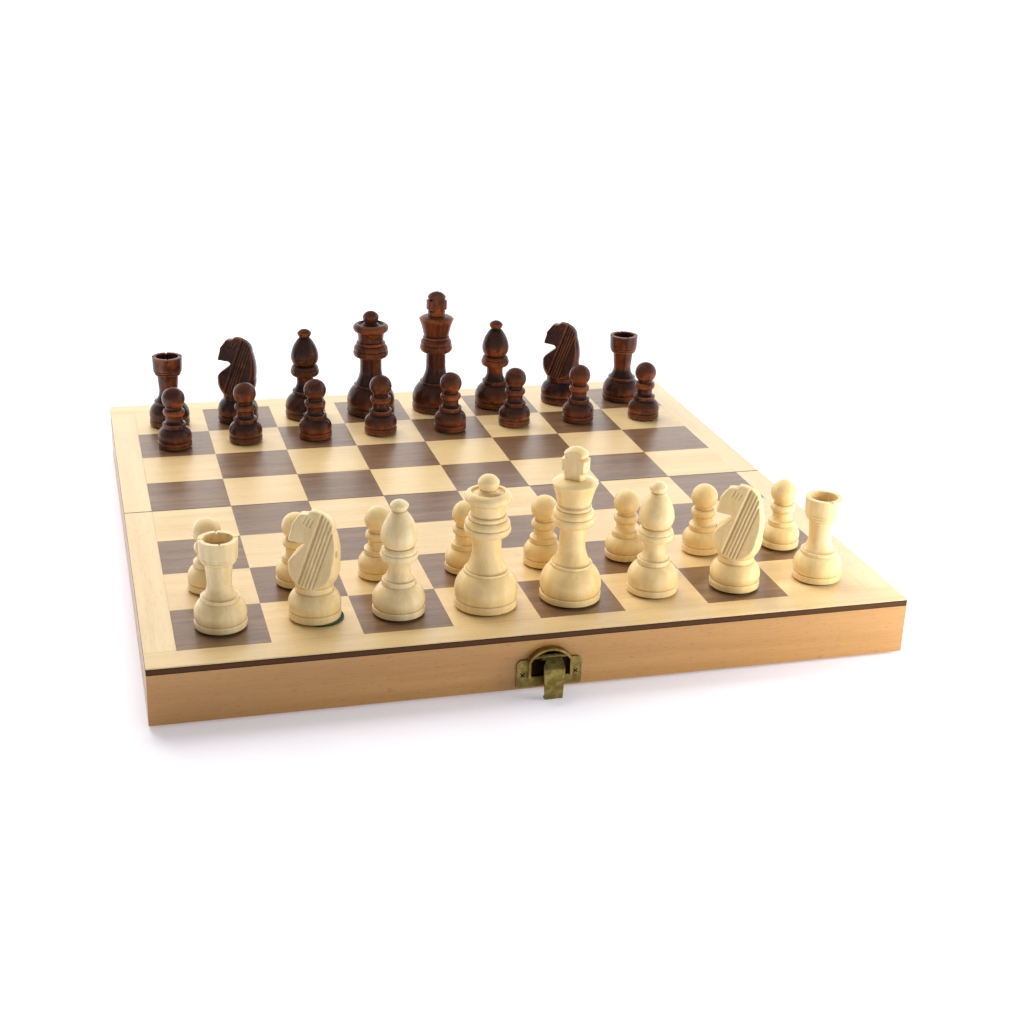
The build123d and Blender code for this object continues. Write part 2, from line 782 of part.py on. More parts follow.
def strays():
    """How far the pieces that stand well off the others' line do so, across and back, by name."""
    near, far = near_slip, far_slip
    return {"light_rook_a": (near, near), "light_knight_b": (far, far), "light_knight_g": (0, -far),
            "light_rook_h": (far, -near), "light_pawn_a": (0, near), "light_pawn_h": (near, -near),
            "light_pawn_c": (-near, near), "light_pawn_e": (-near, 0), "dark_rook_a": (0, -far),
            "dark_knight_b": (0, -near), "dark_bishop_c": (0, -near), "dark_bishop_f": (-far, 0),
            "dark_pawn_a": (0, -far), "dark_pawn_d": (-near, near), "dark_pawn_f": (0, far),
            "dark_pawn_g": (0, far), "dark_pawn_h": (near, near), "dark_knight_g": (0, near)}


def chessmen():
    """All thirty-two pieces, by node name."""
    back_rank = [("rook", rook(), rook_base_d), ("knight", knight(), knight_base_d),
                 ("bishop", bishop(), bishop_base_d), ("queen", queen(), queen_base_d),
                 ("king", king(), king_base_d), ("bishop", bishop(), bishop_base_d),
                 ("knight", knight(), knight_base_d), ("rook", rook(), rook_base_d)]
    foot_soldier, off = pawn(), strays()
    turns = {"knight_b": turn_b, "knight_g": turn_g}
    men = {}
    for army, home, pawns in (("light", 0, 1), ("dark", 7, 6)):
        for i, (kind, shape, base_d) in enumerate(back_rank):
            man = kind if kind in ("king", "queen") else f"{kind}_{files[i]}"
            turn = turns.get(man, king_turn if (army, kind) == ("light", "king") else 0)
            slip = felt_slip if (army, man) == ("light", "knight_b") else 0
            name, trooper = f"{army}_{man}", f"{army}_pawn_{files[i]}"
            men[name] = stand(shape, base_d, i, home, turn, slip, off.get(name, (0, 0)))
            men[trooper] = stand(foot_soldier, pawn_base_d, i, pawns, off=off.get(trooper, (0, 0)))
    return men


def main():
    """Build every node and write it."""
    os.makedirs("parts", exist_ok=True)
    for half in ("front", "rear"):
        turn = (lambda s: s) if half == "front" else to_rear
        nodes = tray()
        nodes["outer_rail"] = [drilled(nodes["outer_rail"][0])]
        for name, solids in nodes.items():
            save(f"{half}_{name}", *[turn(s) for s in solids])
        save(f"hinge_{half}_leaves", *[turn(s) for s in hinge_leaves(half == "front")])
        save(f"hinge_{half}_screws", *[turn(flat_screw(x, -leaf_screw_y, 0)) for x in leaf_screw_xs()])
    pins = [rod(pin_r, c - leaf_len / 2, c + leaf_len / 2, 0, knuckle_r) for c in hinge_places()]
    save("hinge_pins", *pins)
    save("catch_plate", catch_plate())
    save("catch_hook", catch_hook())
    save("catch_pin", hook_axis_rod(hook_pin_r, hook_pin_len))
    save("catch_screws", *catch_screws())
    save("keeper_plate", to_rear(keeper_plate()))
    save("keeper_screws", *[to_rear(s) for s in catch_screws()])
    for name, solids in chessmen().items():
        save(name, *solids)


main()
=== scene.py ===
"""A folding chess box lying open as a board, with its pieces set up, dressed for the shelf."""

import json
import logging
import math
from dataclasses import dataclass
from enum import Enum
from typing import Callable, Iterable, NamedTuple, Sequence

import bmesh
import bpy
from mathutils import Matrix, Vector

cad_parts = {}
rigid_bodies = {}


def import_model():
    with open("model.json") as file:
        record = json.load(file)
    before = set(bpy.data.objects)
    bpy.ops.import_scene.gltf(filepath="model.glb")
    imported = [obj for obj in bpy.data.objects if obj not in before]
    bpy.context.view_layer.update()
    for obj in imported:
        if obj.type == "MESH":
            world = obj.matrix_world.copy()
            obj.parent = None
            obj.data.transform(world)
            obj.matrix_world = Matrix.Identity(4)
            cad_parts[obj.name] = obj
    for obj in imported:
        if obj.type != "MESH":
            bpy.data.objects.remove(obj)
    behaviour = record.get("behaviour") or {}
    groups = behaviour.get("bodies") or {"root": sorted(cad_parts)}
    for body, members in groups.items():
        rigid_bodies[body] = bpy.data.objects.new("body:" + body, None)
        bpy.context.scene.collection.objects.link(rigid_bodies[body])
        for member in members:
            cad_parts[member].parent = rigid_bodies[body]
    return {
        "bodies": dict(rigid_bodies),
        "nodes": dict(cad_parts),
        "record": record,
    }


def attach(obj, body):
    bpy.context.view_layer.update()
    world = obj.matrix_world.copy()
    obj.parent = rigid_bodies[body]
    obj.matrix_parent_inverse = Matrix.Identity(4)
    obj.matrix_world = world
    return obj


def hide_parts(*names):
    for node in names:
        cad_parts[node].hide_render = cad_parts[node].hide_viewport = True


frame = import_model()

log = logging.getLogger("chess_box")

MM = 0.001

# Sizes that the CAD gives, in millimetres
SQUARE = 33.4
SEAM = 0.2
BALANCE = 2.025  # y of the seam between the halves
BOARD_TOP = 23.7
RAIL_TOP = 20.9
CORE = 2.3
FELT = 0.7

# Limits, in metres and radians
INSIDE = 0.05 * MM  # how far under its face a point is tested
TOUCHING = 1e-6  # how near two corners of a CAD mesh count as one
COINCIDENT = 1e-7  # the same in a mesh made here
STRAIGHT = 1e-3  # the half turn under which an arc is drawn straight
FLAT = math.radians(0.5)  # the turn under which two triangles share a flat face

SCATTER = 3.0  # how far apart in the veneer the squares are cut, in metres

Node = bpy.types.Node
Socket = bpy.types.NodeSocket
Tree = bpy.types.NodeTree
Material = bpy.types.Material
BMesh = bmesh.types.BMesh
Rgba = tuple[float, float, float, float]
Point = tuple[float, float]
Keep = Callable[[Vector], bool]


class Army(Enum):
    """The two colours of chessmen."""

    LIGHT = "light"
    DARK = "dark"


class Grain(Enum):
    """Which way a piece of wood's grain runs, as the turn from x in degrees."""

    ALONG_X = 0.0
    ALONG_Y = 90.0


class Band(NamedTuple):
    """A range of values and the two answers that it is smoothly mapped to."""

    low: float
    high: float
    out_low: float = 0.0
    out_high: float = 1.0


def srgb(r: float, g: float, b: float) -> Rgba:
    """Turn a measured colour into the linear one the shaders use.

    Args:
        r: Red from 0 to 255.
        g: Green from 0 to 255.
        b: Blue from 0 to 255.

    Returns:
        The linear colour with an alpha of 1.
    """
    def line(v: float) -> float:
        """One channel, made linear."""
        v /= 255.0
        return v / 12.92 if v <= 0.04045 else ((v + 0.055) / 1.055) ** 2.4

    return line(r), line(g), line(b), 1.0


def stand(name: str, data: bpy.types.ID) -> bpy.types.Object:
    """Put new data into the scene as an object."""
    thing = bpy.data.objects.new(name, data)
    bpy.context.scene.collection.objects.link(thing)
    return thing


def as_mesh(bm: BMesh, name: str) -> bpy.types.Mesh:
    """Turn a bmesh into mesh data and let it go."""
    mesh = bpy.data.meshes.new(name)
    bm.to_mesh(mesh)
    bm.free()
    return mesh


class Wiring:
    """Adds nodes to one tree and joins them up."""

    def __init__(self, tree: Tree) -> None:
        """Start on the node tree that gets the nodes."""
        self.tree = tree

    def add(self, kind: str, **settings: object) -> Node:
        """Add a node and set its plain properties.

        Args:
            kind: The node's type name.
            **settings: Properties of the node, by name.

        Returns:
            The new node.
        """
        node = self.tree.nodes.new(kind)
        for name, value in settings.items():
            setattr(node, name, value)
        return node

    def feed(self, node: Node, socket: str | int, source: object) -> None:
        """Link a socket to a source, or set its value.

        Args:
            node: The node whose input is fed.
            socket: The input's name or place.
            source: An output socket, or a plain value.
        """
        target = node.inputs[socket]
        if isinstance(source, Socket):
            self.tree.links.new(source, target)
        else:
            target.default_value = source

    def fill(self, node: Node, **sources: object) -> Node:
        """Feed several of a node's inputs.

        Args:
            node: The node.
            **sources: Output sockets or plain values by the input's name, with _ for a space.

        Returns:
            The node itself.
        """
        for label, source in sources.items():
            self.feed(node, label.replace("_", " "), source)
        return node

    def maths(self, operation: str, a: object, b: object = 0.0,
              clamp: bool = False) -> Socket:
        """One sum on two values.

        Args:
            operation: The Math node's operation.
            a: First value or socket.
            b: Second value or socket.
            clamp: Keep the answer from 0 to 1.

        Returns:
            The answer's socket.
        """
        node = self.add("ShaderNodeMath", operation=operation, use_clamp=clamp)
        self.feed(node, 0, a)
        self.feed(node, 1, b)
        return node.outputs[0]

    def spread(self, value: object, low: object, high: object, out_low: object = 0.0,
               out_high: object = 1.0) -> Socket:
        """Smoothly map one range to another.

        Args:
            value: The value's socket.
            low: Where the range starts.
            high: Where the range ends.
            out_low: The answer at low.
            out_high: The answer at high.

        Returns:
            The answer's socket.
        """
        node = self.add("ShaderNodeMapRange", interpolation_type="SMOOTHSTEP")
        return self.fill(node, Value=value, From_Min=low, From_Max=high, To_Min=out_low,
                         To_Max=out_high).outputs[0]

    def blend(self, share: object, a: object, b: object,
              mode: str = "MIX") -> Socket:
        """Mix two colours.

        Args:
            share: How much of the second colour, from 0 to 1.
            a: First colour or socket.
            b: Second colour or socket.
            mode: The Mix node's blend mode.

        Returns:
            The mixed colour's socket.
        """
        node = self.add("ShaderNodeMix", data_type="RGBA", blend_type=mode)
        self.feed(node, 0, share)
        self.feed(node, 6, a)
        self.feed(node, 7, b)
        return node.outputs[2]

    def cover(self, colour: object, mask: object, share: float,
              over: object) -> Socket:
        """Lay a colour over another, as far as a mask and a share let it."""
        return self.blend(self.maths("MULTIPLY", mask, share), colour, over)

    def noise(self, vector: object, scale: object, detail: float = 3.0, rough: float = 0.55,
              warp: float = 0.0) -> Socket:
        """A noise pattern's grey value.

        Args:
            vector: Where the pattern is read.
            scale: Its scale.
            detail: Its octaves.
            rough: How strong the fine octaves are.
            warp: How much it is bent by itself.

        Returns:
            The grey value's socket.
        """
        node = self.add("ShaderNodeTexNoise", noise_dimensions="3D")
        return self.fill(node, Vector=vector, Scale=scale, Detail=detail, Roughness=rough,
                         Distortion=warp).outputs["Fac"]

    def parts(self, vector: object) -> Sequence[Socket]:
        """The x, y and z of a vector."""
        node = self.add("ShaderNodeSeparateXYZ")
        self.feed(node, 0, vector)
        return node.outputs

    def grey(self, value: object) -> Socket:
        """A value as a grey colour."""
        node = self.add("ShaderNodeCombineColor")
        for i in range(3):
            self.feed(node, i, value)
        return node.outputs[0]

    def turned(self, vector: object, turn: tuple[float, float, float]) -> Socket:
        """A vector turned about the origin, in degrees."""
        angles = tuple(math.radians(angle) for angle in turn)
        return self.fill(self.add("ShaderNodeMapping"), Vector=vector, Rotation=angles).outputs[0]

    def stored(self, name: str) -> Socket:
        """A value that is stored on the mesh."""
        return self.add("ShaderNodeAttribute", attribute_name=name).outputs["Fac"]

    def group(self, tree: Tree, **values: object) -> dict[str, Socket]:
        """Place a shared group and set its inputs.

        Args:
            tree: The group.
            **values: Its inputs by name, with _ for a space.

        Returns:
            The group's outputs by name.
        """
        node = self.add("ShaderNodeGroup")
        node.node_tree = tree
        return {socket.name: socket for socket in self.fill(node, **values).outputs}


class Canvas(Wiring):
    """A material in the making.

    Attributes:
        material: The material.
        shader: Its shader node.
        place: The Object coordinates.
    """

    def __init__(self, name: str) -> None:
        """Start on a new material.

        Args:
            name: The material's name.
        """
        self.material = bpy.data.materials.new(name)
        self.material.use_nodes = True
        super().__init__(self.material.node_tree)
        self.shader = self.tree.nodes["Principled BSDF"]
        self.place = self.add("ShaderNodeTexCoord").outputs["Object"]

    def relief(self, height: object, depth: float) -> None:
        """Feed a height, and how much it stands out in metres, to the shader's normal."""
        node = self.fill(self.add("ShaderNodeBump"), Height=height, Strength=1.0, Distance=depth)
        self.fill(self.shader, Normal=node.outputs[0])


def new_group(name: str, inputs: dict[str, float | None], vectors: Sequence[str],
              values: Sequence[str]) -> tuple[Tree, Wiring, dict, Node]:
    """Make a shader node group with named sockets.

    Args:
        name: The group's name.
        inputs: The default of each input by name, or None for a vector.
        vectors: The names of the outputs that are vectors.
        values: The names of the outputs that are plain values.

    Returns:
        The group, its wiring, its input sockets by name, and its output node.
    """
    tree = bpy.data.node_groups.new(name, "ShaderNodeTree")
    vector, number = "NodeSocketVector", "NodeSocketFloat"
    for label, default in inputs.items():
        kind = vector if default is None else number
        socket = tree.interface.new_socket(label, in_out="INPUT", socket_type=kind)
        if default is not None:
            socket.default_value = default
    for label in vectors:
        tree.interface.new_socket(label, in_out="OUTPUT", socket_type=vector)
    for label in values:
        tree.interface.new_socket(label, in_out="OUTPUT", socket_type=number)
    wiring = Wiring(tree)
    entry = wiring.add("NodeGroupInput")
    leave = wiring.add("NodeGroupOutput")
    return tree, wiring, {s.name: s for s in entry.outputs if s.name}, leave


class Patterns:
    """The node groups that several finishes share, each built once."""

    def __init__(self) -> None:
        """Build every group."""
        self.wood = self._wood()
        self.tiles = self._tiles()
        self.speckle = self._speckle()

    def _wood(self) -> Tree:
        """Long soft streaks, fine fibres and short dark flecks, along the vector's own x.

        Returns:
            The node group.
        """
        tree, w, given, leave = new_group(
            "Wood Figure",
            {"Vector": None, "Streak Scale": 60.0, "Streak Stretch": 0.06, "Fibre Scale": 700.0,
             "Fleck Scale": 420.0, "Fleck Cover": 0.2},
            [], ["Streaks", "Fibres", "Flecks", "Height"])

        def stretched(scale: object, stretch: object) -> Socket:
            """The vector, scaled across the grain and stretched along it."""
            factor = w.add("ShaderNodeCombineXYZ")
            for i, source in enumerate((w.maths("MULTIPLY", scale, stretch), scale, scale)):
                w.feed(factor, i, source)
            node = w.add("ShaderNodeVectorMath", operation="MULTIPLY")
            w.feed(node, 0, given["Vector"])
            w.feed(node, 1, factor.outputs[0])
            return node.outputs[0]

        streaks = w.noise(stretched(given["Streak Scale"], given["Streak Stretch"]), 1.0,
                          detail=5.0, rough=0.6, warp=0.6)
        fibres = w.noise(stretched(given["Fibre Scale"], stretch=0.04), 1.0, rough=0.7)
        fleck = w.noise(stretched(given["Fleck Scale"], stretch=0.14), 1.0, detail=1.0, rough=0.4)
        least, fade, depth = 0.78, 0.07, 0.8
        edge = w.maths("SUBTRACT", least, w.maths("MULTIPLY", given["Fleck Cover"], 0.5))
        flecks = w.spread(fleck, edge, w.maths("ADD", edge, fade))
        w.feed(leave, "Streaks", w.spread(streaks, low=0.3, high=0.72))
        w.feed(leave, "Fibres", fibres)
        w.feed(leave, "Flecks", flecks)
        w.feed(leave, "Height", w.maths("SUBTRACT", fibres, w.maths("MULTIPLY", flecks, depth)))
        return tree

    def _tiles(self) -> Tree:
        """A tone and a shifted vector of its own for each square of the board, and its thin joints.

        Returns:
            The node group.
        """
        tree, w, given, leave = new_group("Board Squares", {"Vector": None, "Joint": 0.004},
                                          ["Vector"], ["Tone", "Joints"])
        x, y, _ = w.parts(given["Vector"])
        across = w.maths("DIVIDE", x, SQUARE * MM)
        depth = w.maths("DIVIDE", w.maths("SUBTRACT", y, BALANCE * MM), SQUARE * MM)
        cell = w.add("ShaderNodeCombineXYZ")
        w.feed(cell, 0, w.maths("FLOOR", across))
        w.feed(cell, 1, w.maths("FLOOR", depth))
        chance = w.add("ShaderNodeTexWhiteNoise", noise_dimensions="3D")
        w.feed(chance, "Vector", cell.outputs[0])
        far = w.add("ShaderNodeVectorMath", operation="MULTIPLY_ADD")
        w.feed(far, 0, chance.outputs["Color"])
        w.feed(far, 1, (SCATTER, SCATTER, 0.0))
        w.feed(far, 2, given["Vector"])
        lines = []
        for place in (across, depth):
            off = w.maths("ABSOLUTE", w.maths("SUBTRACT", w.maths("FRACT", place), 0.5))
            away = w.maths("DIVIDE", w.maths("SUBTRACT", 0.5, off), given["Joint"], clamp=True)
            lines.append(w.maths("SUBTRACT", 1.0, away, clamp=True))
        w.feed(leave, "Vector", far.outputs[0])
        w.feed(leave, "Tone", chance.outputs["Value"])
        w.feed(leave, "Joints", w.maths("MAXIMUM", *lines))
        return tree

    def _speckle(self) -> Tree:
        """Cloudy blotches and fine specks, the same in every direction.

        Returns:
            The node group.
        """
        tree, w, given, leave = new_group(
            "Cloud And Speck", {"Vector": None, "Cloud Scale": 120.0, "Speck Scale": 1800.0},
            [], ["Cloud", "Specks", "Height"])
        cloud = w.noise(given["Vector"], given["Cloud Scale"], detail=4.0, rough=0.6, warp=0.3)
        specks = w.noise(given["Vector"], given["Speck Scale"], detail=2.0, rough=0.6)
        w.feed(leave, "Cloud", w.spread(cloud, low=0.32, high=0.7))
        w.feed(leave, "Specks", specks)
        shares = [w.maths("MULTIPLY", *pair) for pair in ((cloud, 0.4), (specks, 0.6))]
        w.feed(leave, "Height", w.maths("ADD", *shares))
        return tree


@dataclass(frozen=True)
class Finish:
    """What every finish has: a name, a gloss and a relief.

    Attributes:
        name: The material's name.
        rough: Roughness of the surface.
        coat: Weight of the clear coat over it.
        coat_rough: Roughness of that coat.
        specular: How strongly the bare surface mirrors.
        bump: Height of the fine relief, in metres.
    """

    name: str
    rough: float = 0.4
    coat: float = 0.0
    coat_rough: float = 0.2
    specular: float = 0.5
    bump: float = 0.00002

    def build(self, patterns: Patterns) -> Material:
        """Make the material.

        Args:
            patterns: The shared groups.

        Returns:
            The material.
        """
        w = Canvas(self.name)
        w.fill(w.shader, Roughness=self.rough, Coat_Weight=self.coat,
               Coat_Roughness=self.coat_rough, Specular_IOR_Level=self.specular)
        self.paint(w, patterns)
        return w.material

    def paint(self, w: Canvas, patterns: Patterns) -> None:
        """Wire the finish's own looks to the shader.

        Args:
            w: The canvas.
            patterns: The shared groups.
        """
        raise NotImplementedError

    def gloss(self, band: Band) -> Band:
        """A band of roughness about the finish's own."""
        return band._replace(out_low=self.rough + band.out_low, out_high=self.rough + band.out_high)


@dataclass(frozen=True, kw_only=True)
class Lumber(Finish):
    """Flat wood: veneer or a solid rail.

    Attributes:
        pale: Its lighter colour.
        deep: Its darker streaks.
        fleck: The colour of its short flecks.
        tone_colour: The colour that it leans to from square to square, or in broad clouds.
        tone_scale: The scale of those clouds.
        grain: Which way it runs.
        squares: Whether each square of the board is cut from its own place in the veneer.
        joints: How dark the joints between the squares are.
        seam_shade: How dark the painted shade line is where the halves meet.
        seam_shade_line: Half the width of that line, first whole and then faded, in millimetres.
        seam_shade_colour: Its colour.
    """

    pale: Rgba
    deep: Rgba
    fleck: Rgba
    fleck_share: float
    fleck_cover: float
    fleck_scale: float = 1500.0
    streak_scale: float
    streak_stretch: float = 0.05
    fibre_share: float
    fibre_scale: float = 2200.0
    fibre_gloss: Band = Band(0.2, 0.8, -0.06, 0.08)
    tone_share: float
    tone_colour: Rgba
    tone_scale: float = 9.0
    grain: Grain = Grain.ALONG_X
    squares: bool = False
    joints: float = 0.0
    seam_shade: float = 0.0
    seam_shade_line: tuple[float, float] = (0.15, 0.6)
    seam_shade_colour: Rgba = srgb(58, 38, 26)

    def paint(self, w: Canvas, patterns: Patterns) -> None:
        """Wire its looks to the shader.

        Args:
            w: The canvas.
            patterns: The shared groups.
        """
        if self.squares:
            tiles = w.group(patterns.tiles, Vector=w.place)
            vector, tone = tiles["Vector"], tiles["Tone"]
        else:
            turn = (0.0, 0.0, self.grain.value)
            vector = w.turned(w.place, turn) if self.grain.value else w.place
            tone = w.noise(w.place, self.tone_scale, detail=1.0, rough=0.5)
        figure = w.group(patterns.wood, Vector=vector, Streak_Scale=self.streak_scale,
                         Streak_Stretch=self.streak_stretch, Fibre_Scale=self.fibre_scale,
                         Fleck_Scale=self.fleck_scale, Fleck_Cover=self.fleck_cover)
        colour = w.blend(figure["Streaks"], self.deep, self.pale)
        fibres = w.spread(figure["Fibres"], low=0.25, high=0.75, out_low=1.0 - self.fibre_share,
                          out_high=1.0 + self.fibre_share)
        colour = w.blend(1.0, colour, w.grey(fibres), "MULTIPLY")
        colour = w.cover(colour, tone, self.tone_share, self.tone_colour)
        colour = w.cover(colour, figure["Flecks"], self.fleck_share, self.fleck)
        if self.squares:
            colour = w.cover(colour, tiles["Joints"], self.joints, self.fleck)
        # Painted shade along the fold line between the two halves.
        if self.seam_shade:
            off = w.maths("ABSOLUTE", w.maths("SUBTRACT", w.parts(w.place)[1], BALANCE * MM))
            line = w.spread(off, *(half * MM for half in self.seam_shade_line), self.seam_shade, 0.0)
            colour = w.blend(line, colour, self.seam_shade_colour)
        w.fill(w.shader, Base_Color=colour,
               Roughness=w.spread(figure["Fibres"], *self.gloss(self.fibre_gloss)))
        w.relief(figure["Height"], self.bump)


@dataclass(frozen=True, kw_only=True)
class TurnedWood(Finish):
    """A turned piece's wood, with its rubbed edges, painted shade in its hollows and painted shade
    on what faces up.

    Attributes:
        pale: Its lighter colour.
        deep: Its darker streaks.
        hollow: The colour of the painted shade in its hollows; its flecks take it too.
        rubbed: The colour of its rubbed edges.
        upper: The colour of the painted shade on what faces up.
        warm: The colour that whole pieces lean to.
        patchy: How strongly the deeper colour gathers in patches.
        facing: How far up a face looks before it gets the painted top shade.
        top_shade_cloud: How evenly that painted shade lies over the clouds.
        sunk: How deep a hollow is before the painted shade gathers in it.
        raised: How sharp an edge is before it is rubbed.
        rub: How evenly the rubbing lies over the clouds.
    """

    pale: Rgba
    deep: Rgba
    hollow: Rgba
    hollow_shade_share: float
    rubbed: Rgba
    rubbed_share: float
    upper: Rgba = (0.0, 0.0, 0.0, 1.0)
    upper_share: float = 0.0
    warm: Rgba
    warm_share: float
    patchy: float
    fleck_share: float = 0.3
    cloud_scale: float = 90.0
    facing: Band = Band(-0.3, 0.4)
    top_shade_cloud: Band = Band(0.0, 0.9, 0.75, 1.0)
    sunk: Band = Band(0.02, 0.24)
    raised: Band = Band(0.06, 0.4)
    rub: Band = Band(0.2, 0.9, 0.35, 1.0)
    cloud_gloss: Band = Band(0.0, 1.0, -0.05, 0.07)

    def paint(self, w: Canvas, patterns: Patterns) -> None:
        """Wire its looks to the shader.

        Args:
            w: The canvas.
            patterns: The shared groups.
        """
        figure = w.group(patterns.wood, Vector=w.turned(w.place, (0.0, 90.0, 0.0)),
                         Streak_Scale=260.0, Streak_Stretch=0.08, Fibre_Scale=1500.0,
                         Fleck_Scale=900.0, Fleck_Cover=0.06)
        speckle = w.group(patterns.speckle, Vector=w.place, Cloud_Scale=self.cloud_scale)
        cloud, wear_and_shade = speckle["Cloud"], w.stored("wear_and_shade")
        colour = w.blend(figure["Streaks"], self.deep, self.pale)
        patch = w.spread(cloud, low=0.32, high=0.6, out_low=self.patchy, out_high=0.0)
        colour = w.blend(patch, colour, self.deep)
        colour = w.cover(colour, w.stored("tint"), self.warm_share, self.warm)
        # Painted shade: faces that look up are darkened, so the lower faces stay lighter as if lit
        # from the board below.
        top_shaded = w.maths("MULTIPLY", w.spread(w.stored("up"), *self.facing),
                          w.spread(cloud, *self.top_shade_cloud))
        colour = w.cover(colour, top_shaded, self.upper_share, self.upper)
        # Painted shade: hollows are darkened with the hollow colour.
        darkening = w.spread(w.maths("MULTIPLY", wear_and_shade, -1.0), *self.sunk)
        colour = w.cover(colour, darkening, self.hollow_shade_share, self.hollow)
        bare = w.maths("MULTIPLY", w.spread(wear_and_shade, *self.raised), w.spread(cloud, *self.rub))
        colour = w.cover(colour, bare, self.rubbed_share, self.rubbed)
        # The grain's flecks take the hollow colour too.
        colour = w.cover(colour, figure["Flecks"], self.fleck_share, self.hollow)
        w.fill(w.shader, Base_Color=colour, Roughness=w.spread(cloud, *self.gloss(self.cloud_gloss)))
        w.relief(w.maths("ADD", figure["Height"], speckle["Height"]), self.bump)


@dataclass(frozen=True, kw_only=True)
class Board(Finish):
    """Pressed dark fibre board, darker along its upper and lower skins."""

    body: Rgba
    skin: Rgba
    fibre: Rgba
    fibre_share: float = 0.75
    skin_band: Band = Band(0.62, 0.98)
    cloud_gloss: Band = Band(0.0, 1.0, 0.0, 0.15)

    def paint(self, w: Canvas, patterns: Patterns) -> None:
        """Wire its looks to the shader.

        Args:
            w: The canvas.
            patterns: The shared groups.
        """
        off = w.maths("SUBTRACT", w.parts(w.place)[2], (RAIL_TOP + CORE / 2) * MM)
        off = w.maths("DIVIDE", w.maths("ABSOLUTE", off), CORE / 2 * MM)
        cloud = w.group(patterns.speckle, Vector=w.place, Cloud_Scale=700.0, Speck_Scale=4200.0)
        colour = w.cover(self.body, cloud["Specks"], self.fibre_share, self.fibre)
        colour = w.blend(w.spread(off, *self.skin_band), colour, self.skin)
        w.fill(w.shader, Base_Color=colour,
               Roughness=w.spread(cloud["Cloud"], *self.gloss(self.cloud_gloss)))
        w.relief(cloud["Height"], self.bump)


@dataclass(frozen=True, kw_only=True)
class Brass(Finish):
    """Antiqued brass, brown in its hollows and rubbed bright along its edges."""

    body: Rgba
    dull: Rgba
    bright: Rgba
    darkening: Rgba
    raised: Band = Band(0.05, 0.6)
    rub: Band = Band(0.1, 0.9, 0.4, 1.0)
    sunk: Band = Band(0.05, 0.5)
    speck_gloss: Band = Band(0.2, 0.8, -0.08, 0.14)
    polish: float = 0.12

    def paint(self, w: Canvas, patterns: Patterns) -> None:
        """Wire its looks to the shader.

        Args:
            w: The canvas.
            patterns: The shared groups.
        """
        cloud = w.group(patterns.speckle, Vector=w.place, Cloud_Scale=420.0, Speck_Scale=3000.0)
        wear_and_shade = w.stored("wear_and_shade")
        colour = w.blend(cloud["Cloud"], self.dull, self.body)
        rubbed = w.maths("MULTIPLY", w.spread(wear_and_shade, *self.raised),
                         w.spread(cloud["Cloud"], *self.rub))
        colour = w.blend(rubbed, colour, self.bright)
        # Dark in hollows: the brass's patina; on the catch window's sheet, where every face is fully
        # sunk, it is painted shadow.
        colour = w.blend(w.spread(w.maths("MULTIPLY", wear_and_shade, -1.0), *self.sunk), colour, self.darkening)
        rough = w.spread(cloud["Specks"], *self.gloss(self.speck_gloss))
        rough = w.maths("SUBTRACT", rough, w.maths("MULTIPLY", rubbed, self.polish))
        w.fill(w.shader, Metallic=1.0, Base_Color=colour, Roughness=rough)
        w.relief(cloud["Height"], self.bump)


@dataclass(frozen=True, kw_only=True)
class Felt(Finish):
    """Short-pile cloth glued under the pieces and inside the trays."""

    pile: Rgba
    shade: Rgba
    sheen: float = 0.4
    cloud_share: float = 0.3

    def paint(self, w: Canvas, patterns: Patterns) -> None:
        """Wire its looks to the shader.

        Args:
            w: The canvas.
            patterns: The shared groups.
        """
        cloud = w.group(patterns.speckle, Vector=w.place, Cloud_Scale=160.0, Speck_Scale=5200.0)
        colour = w.blend(cloud["Specks"], self.shade, self.pile)
        colour = w.cover(colour, cloud["Cloud"], self.cloud_share, self.shade)
        w.fill(w.shader, Base_Color=colour, Sheen_Weight=self.sheen)
        w.relief(cloud["Specks"], self.bump)


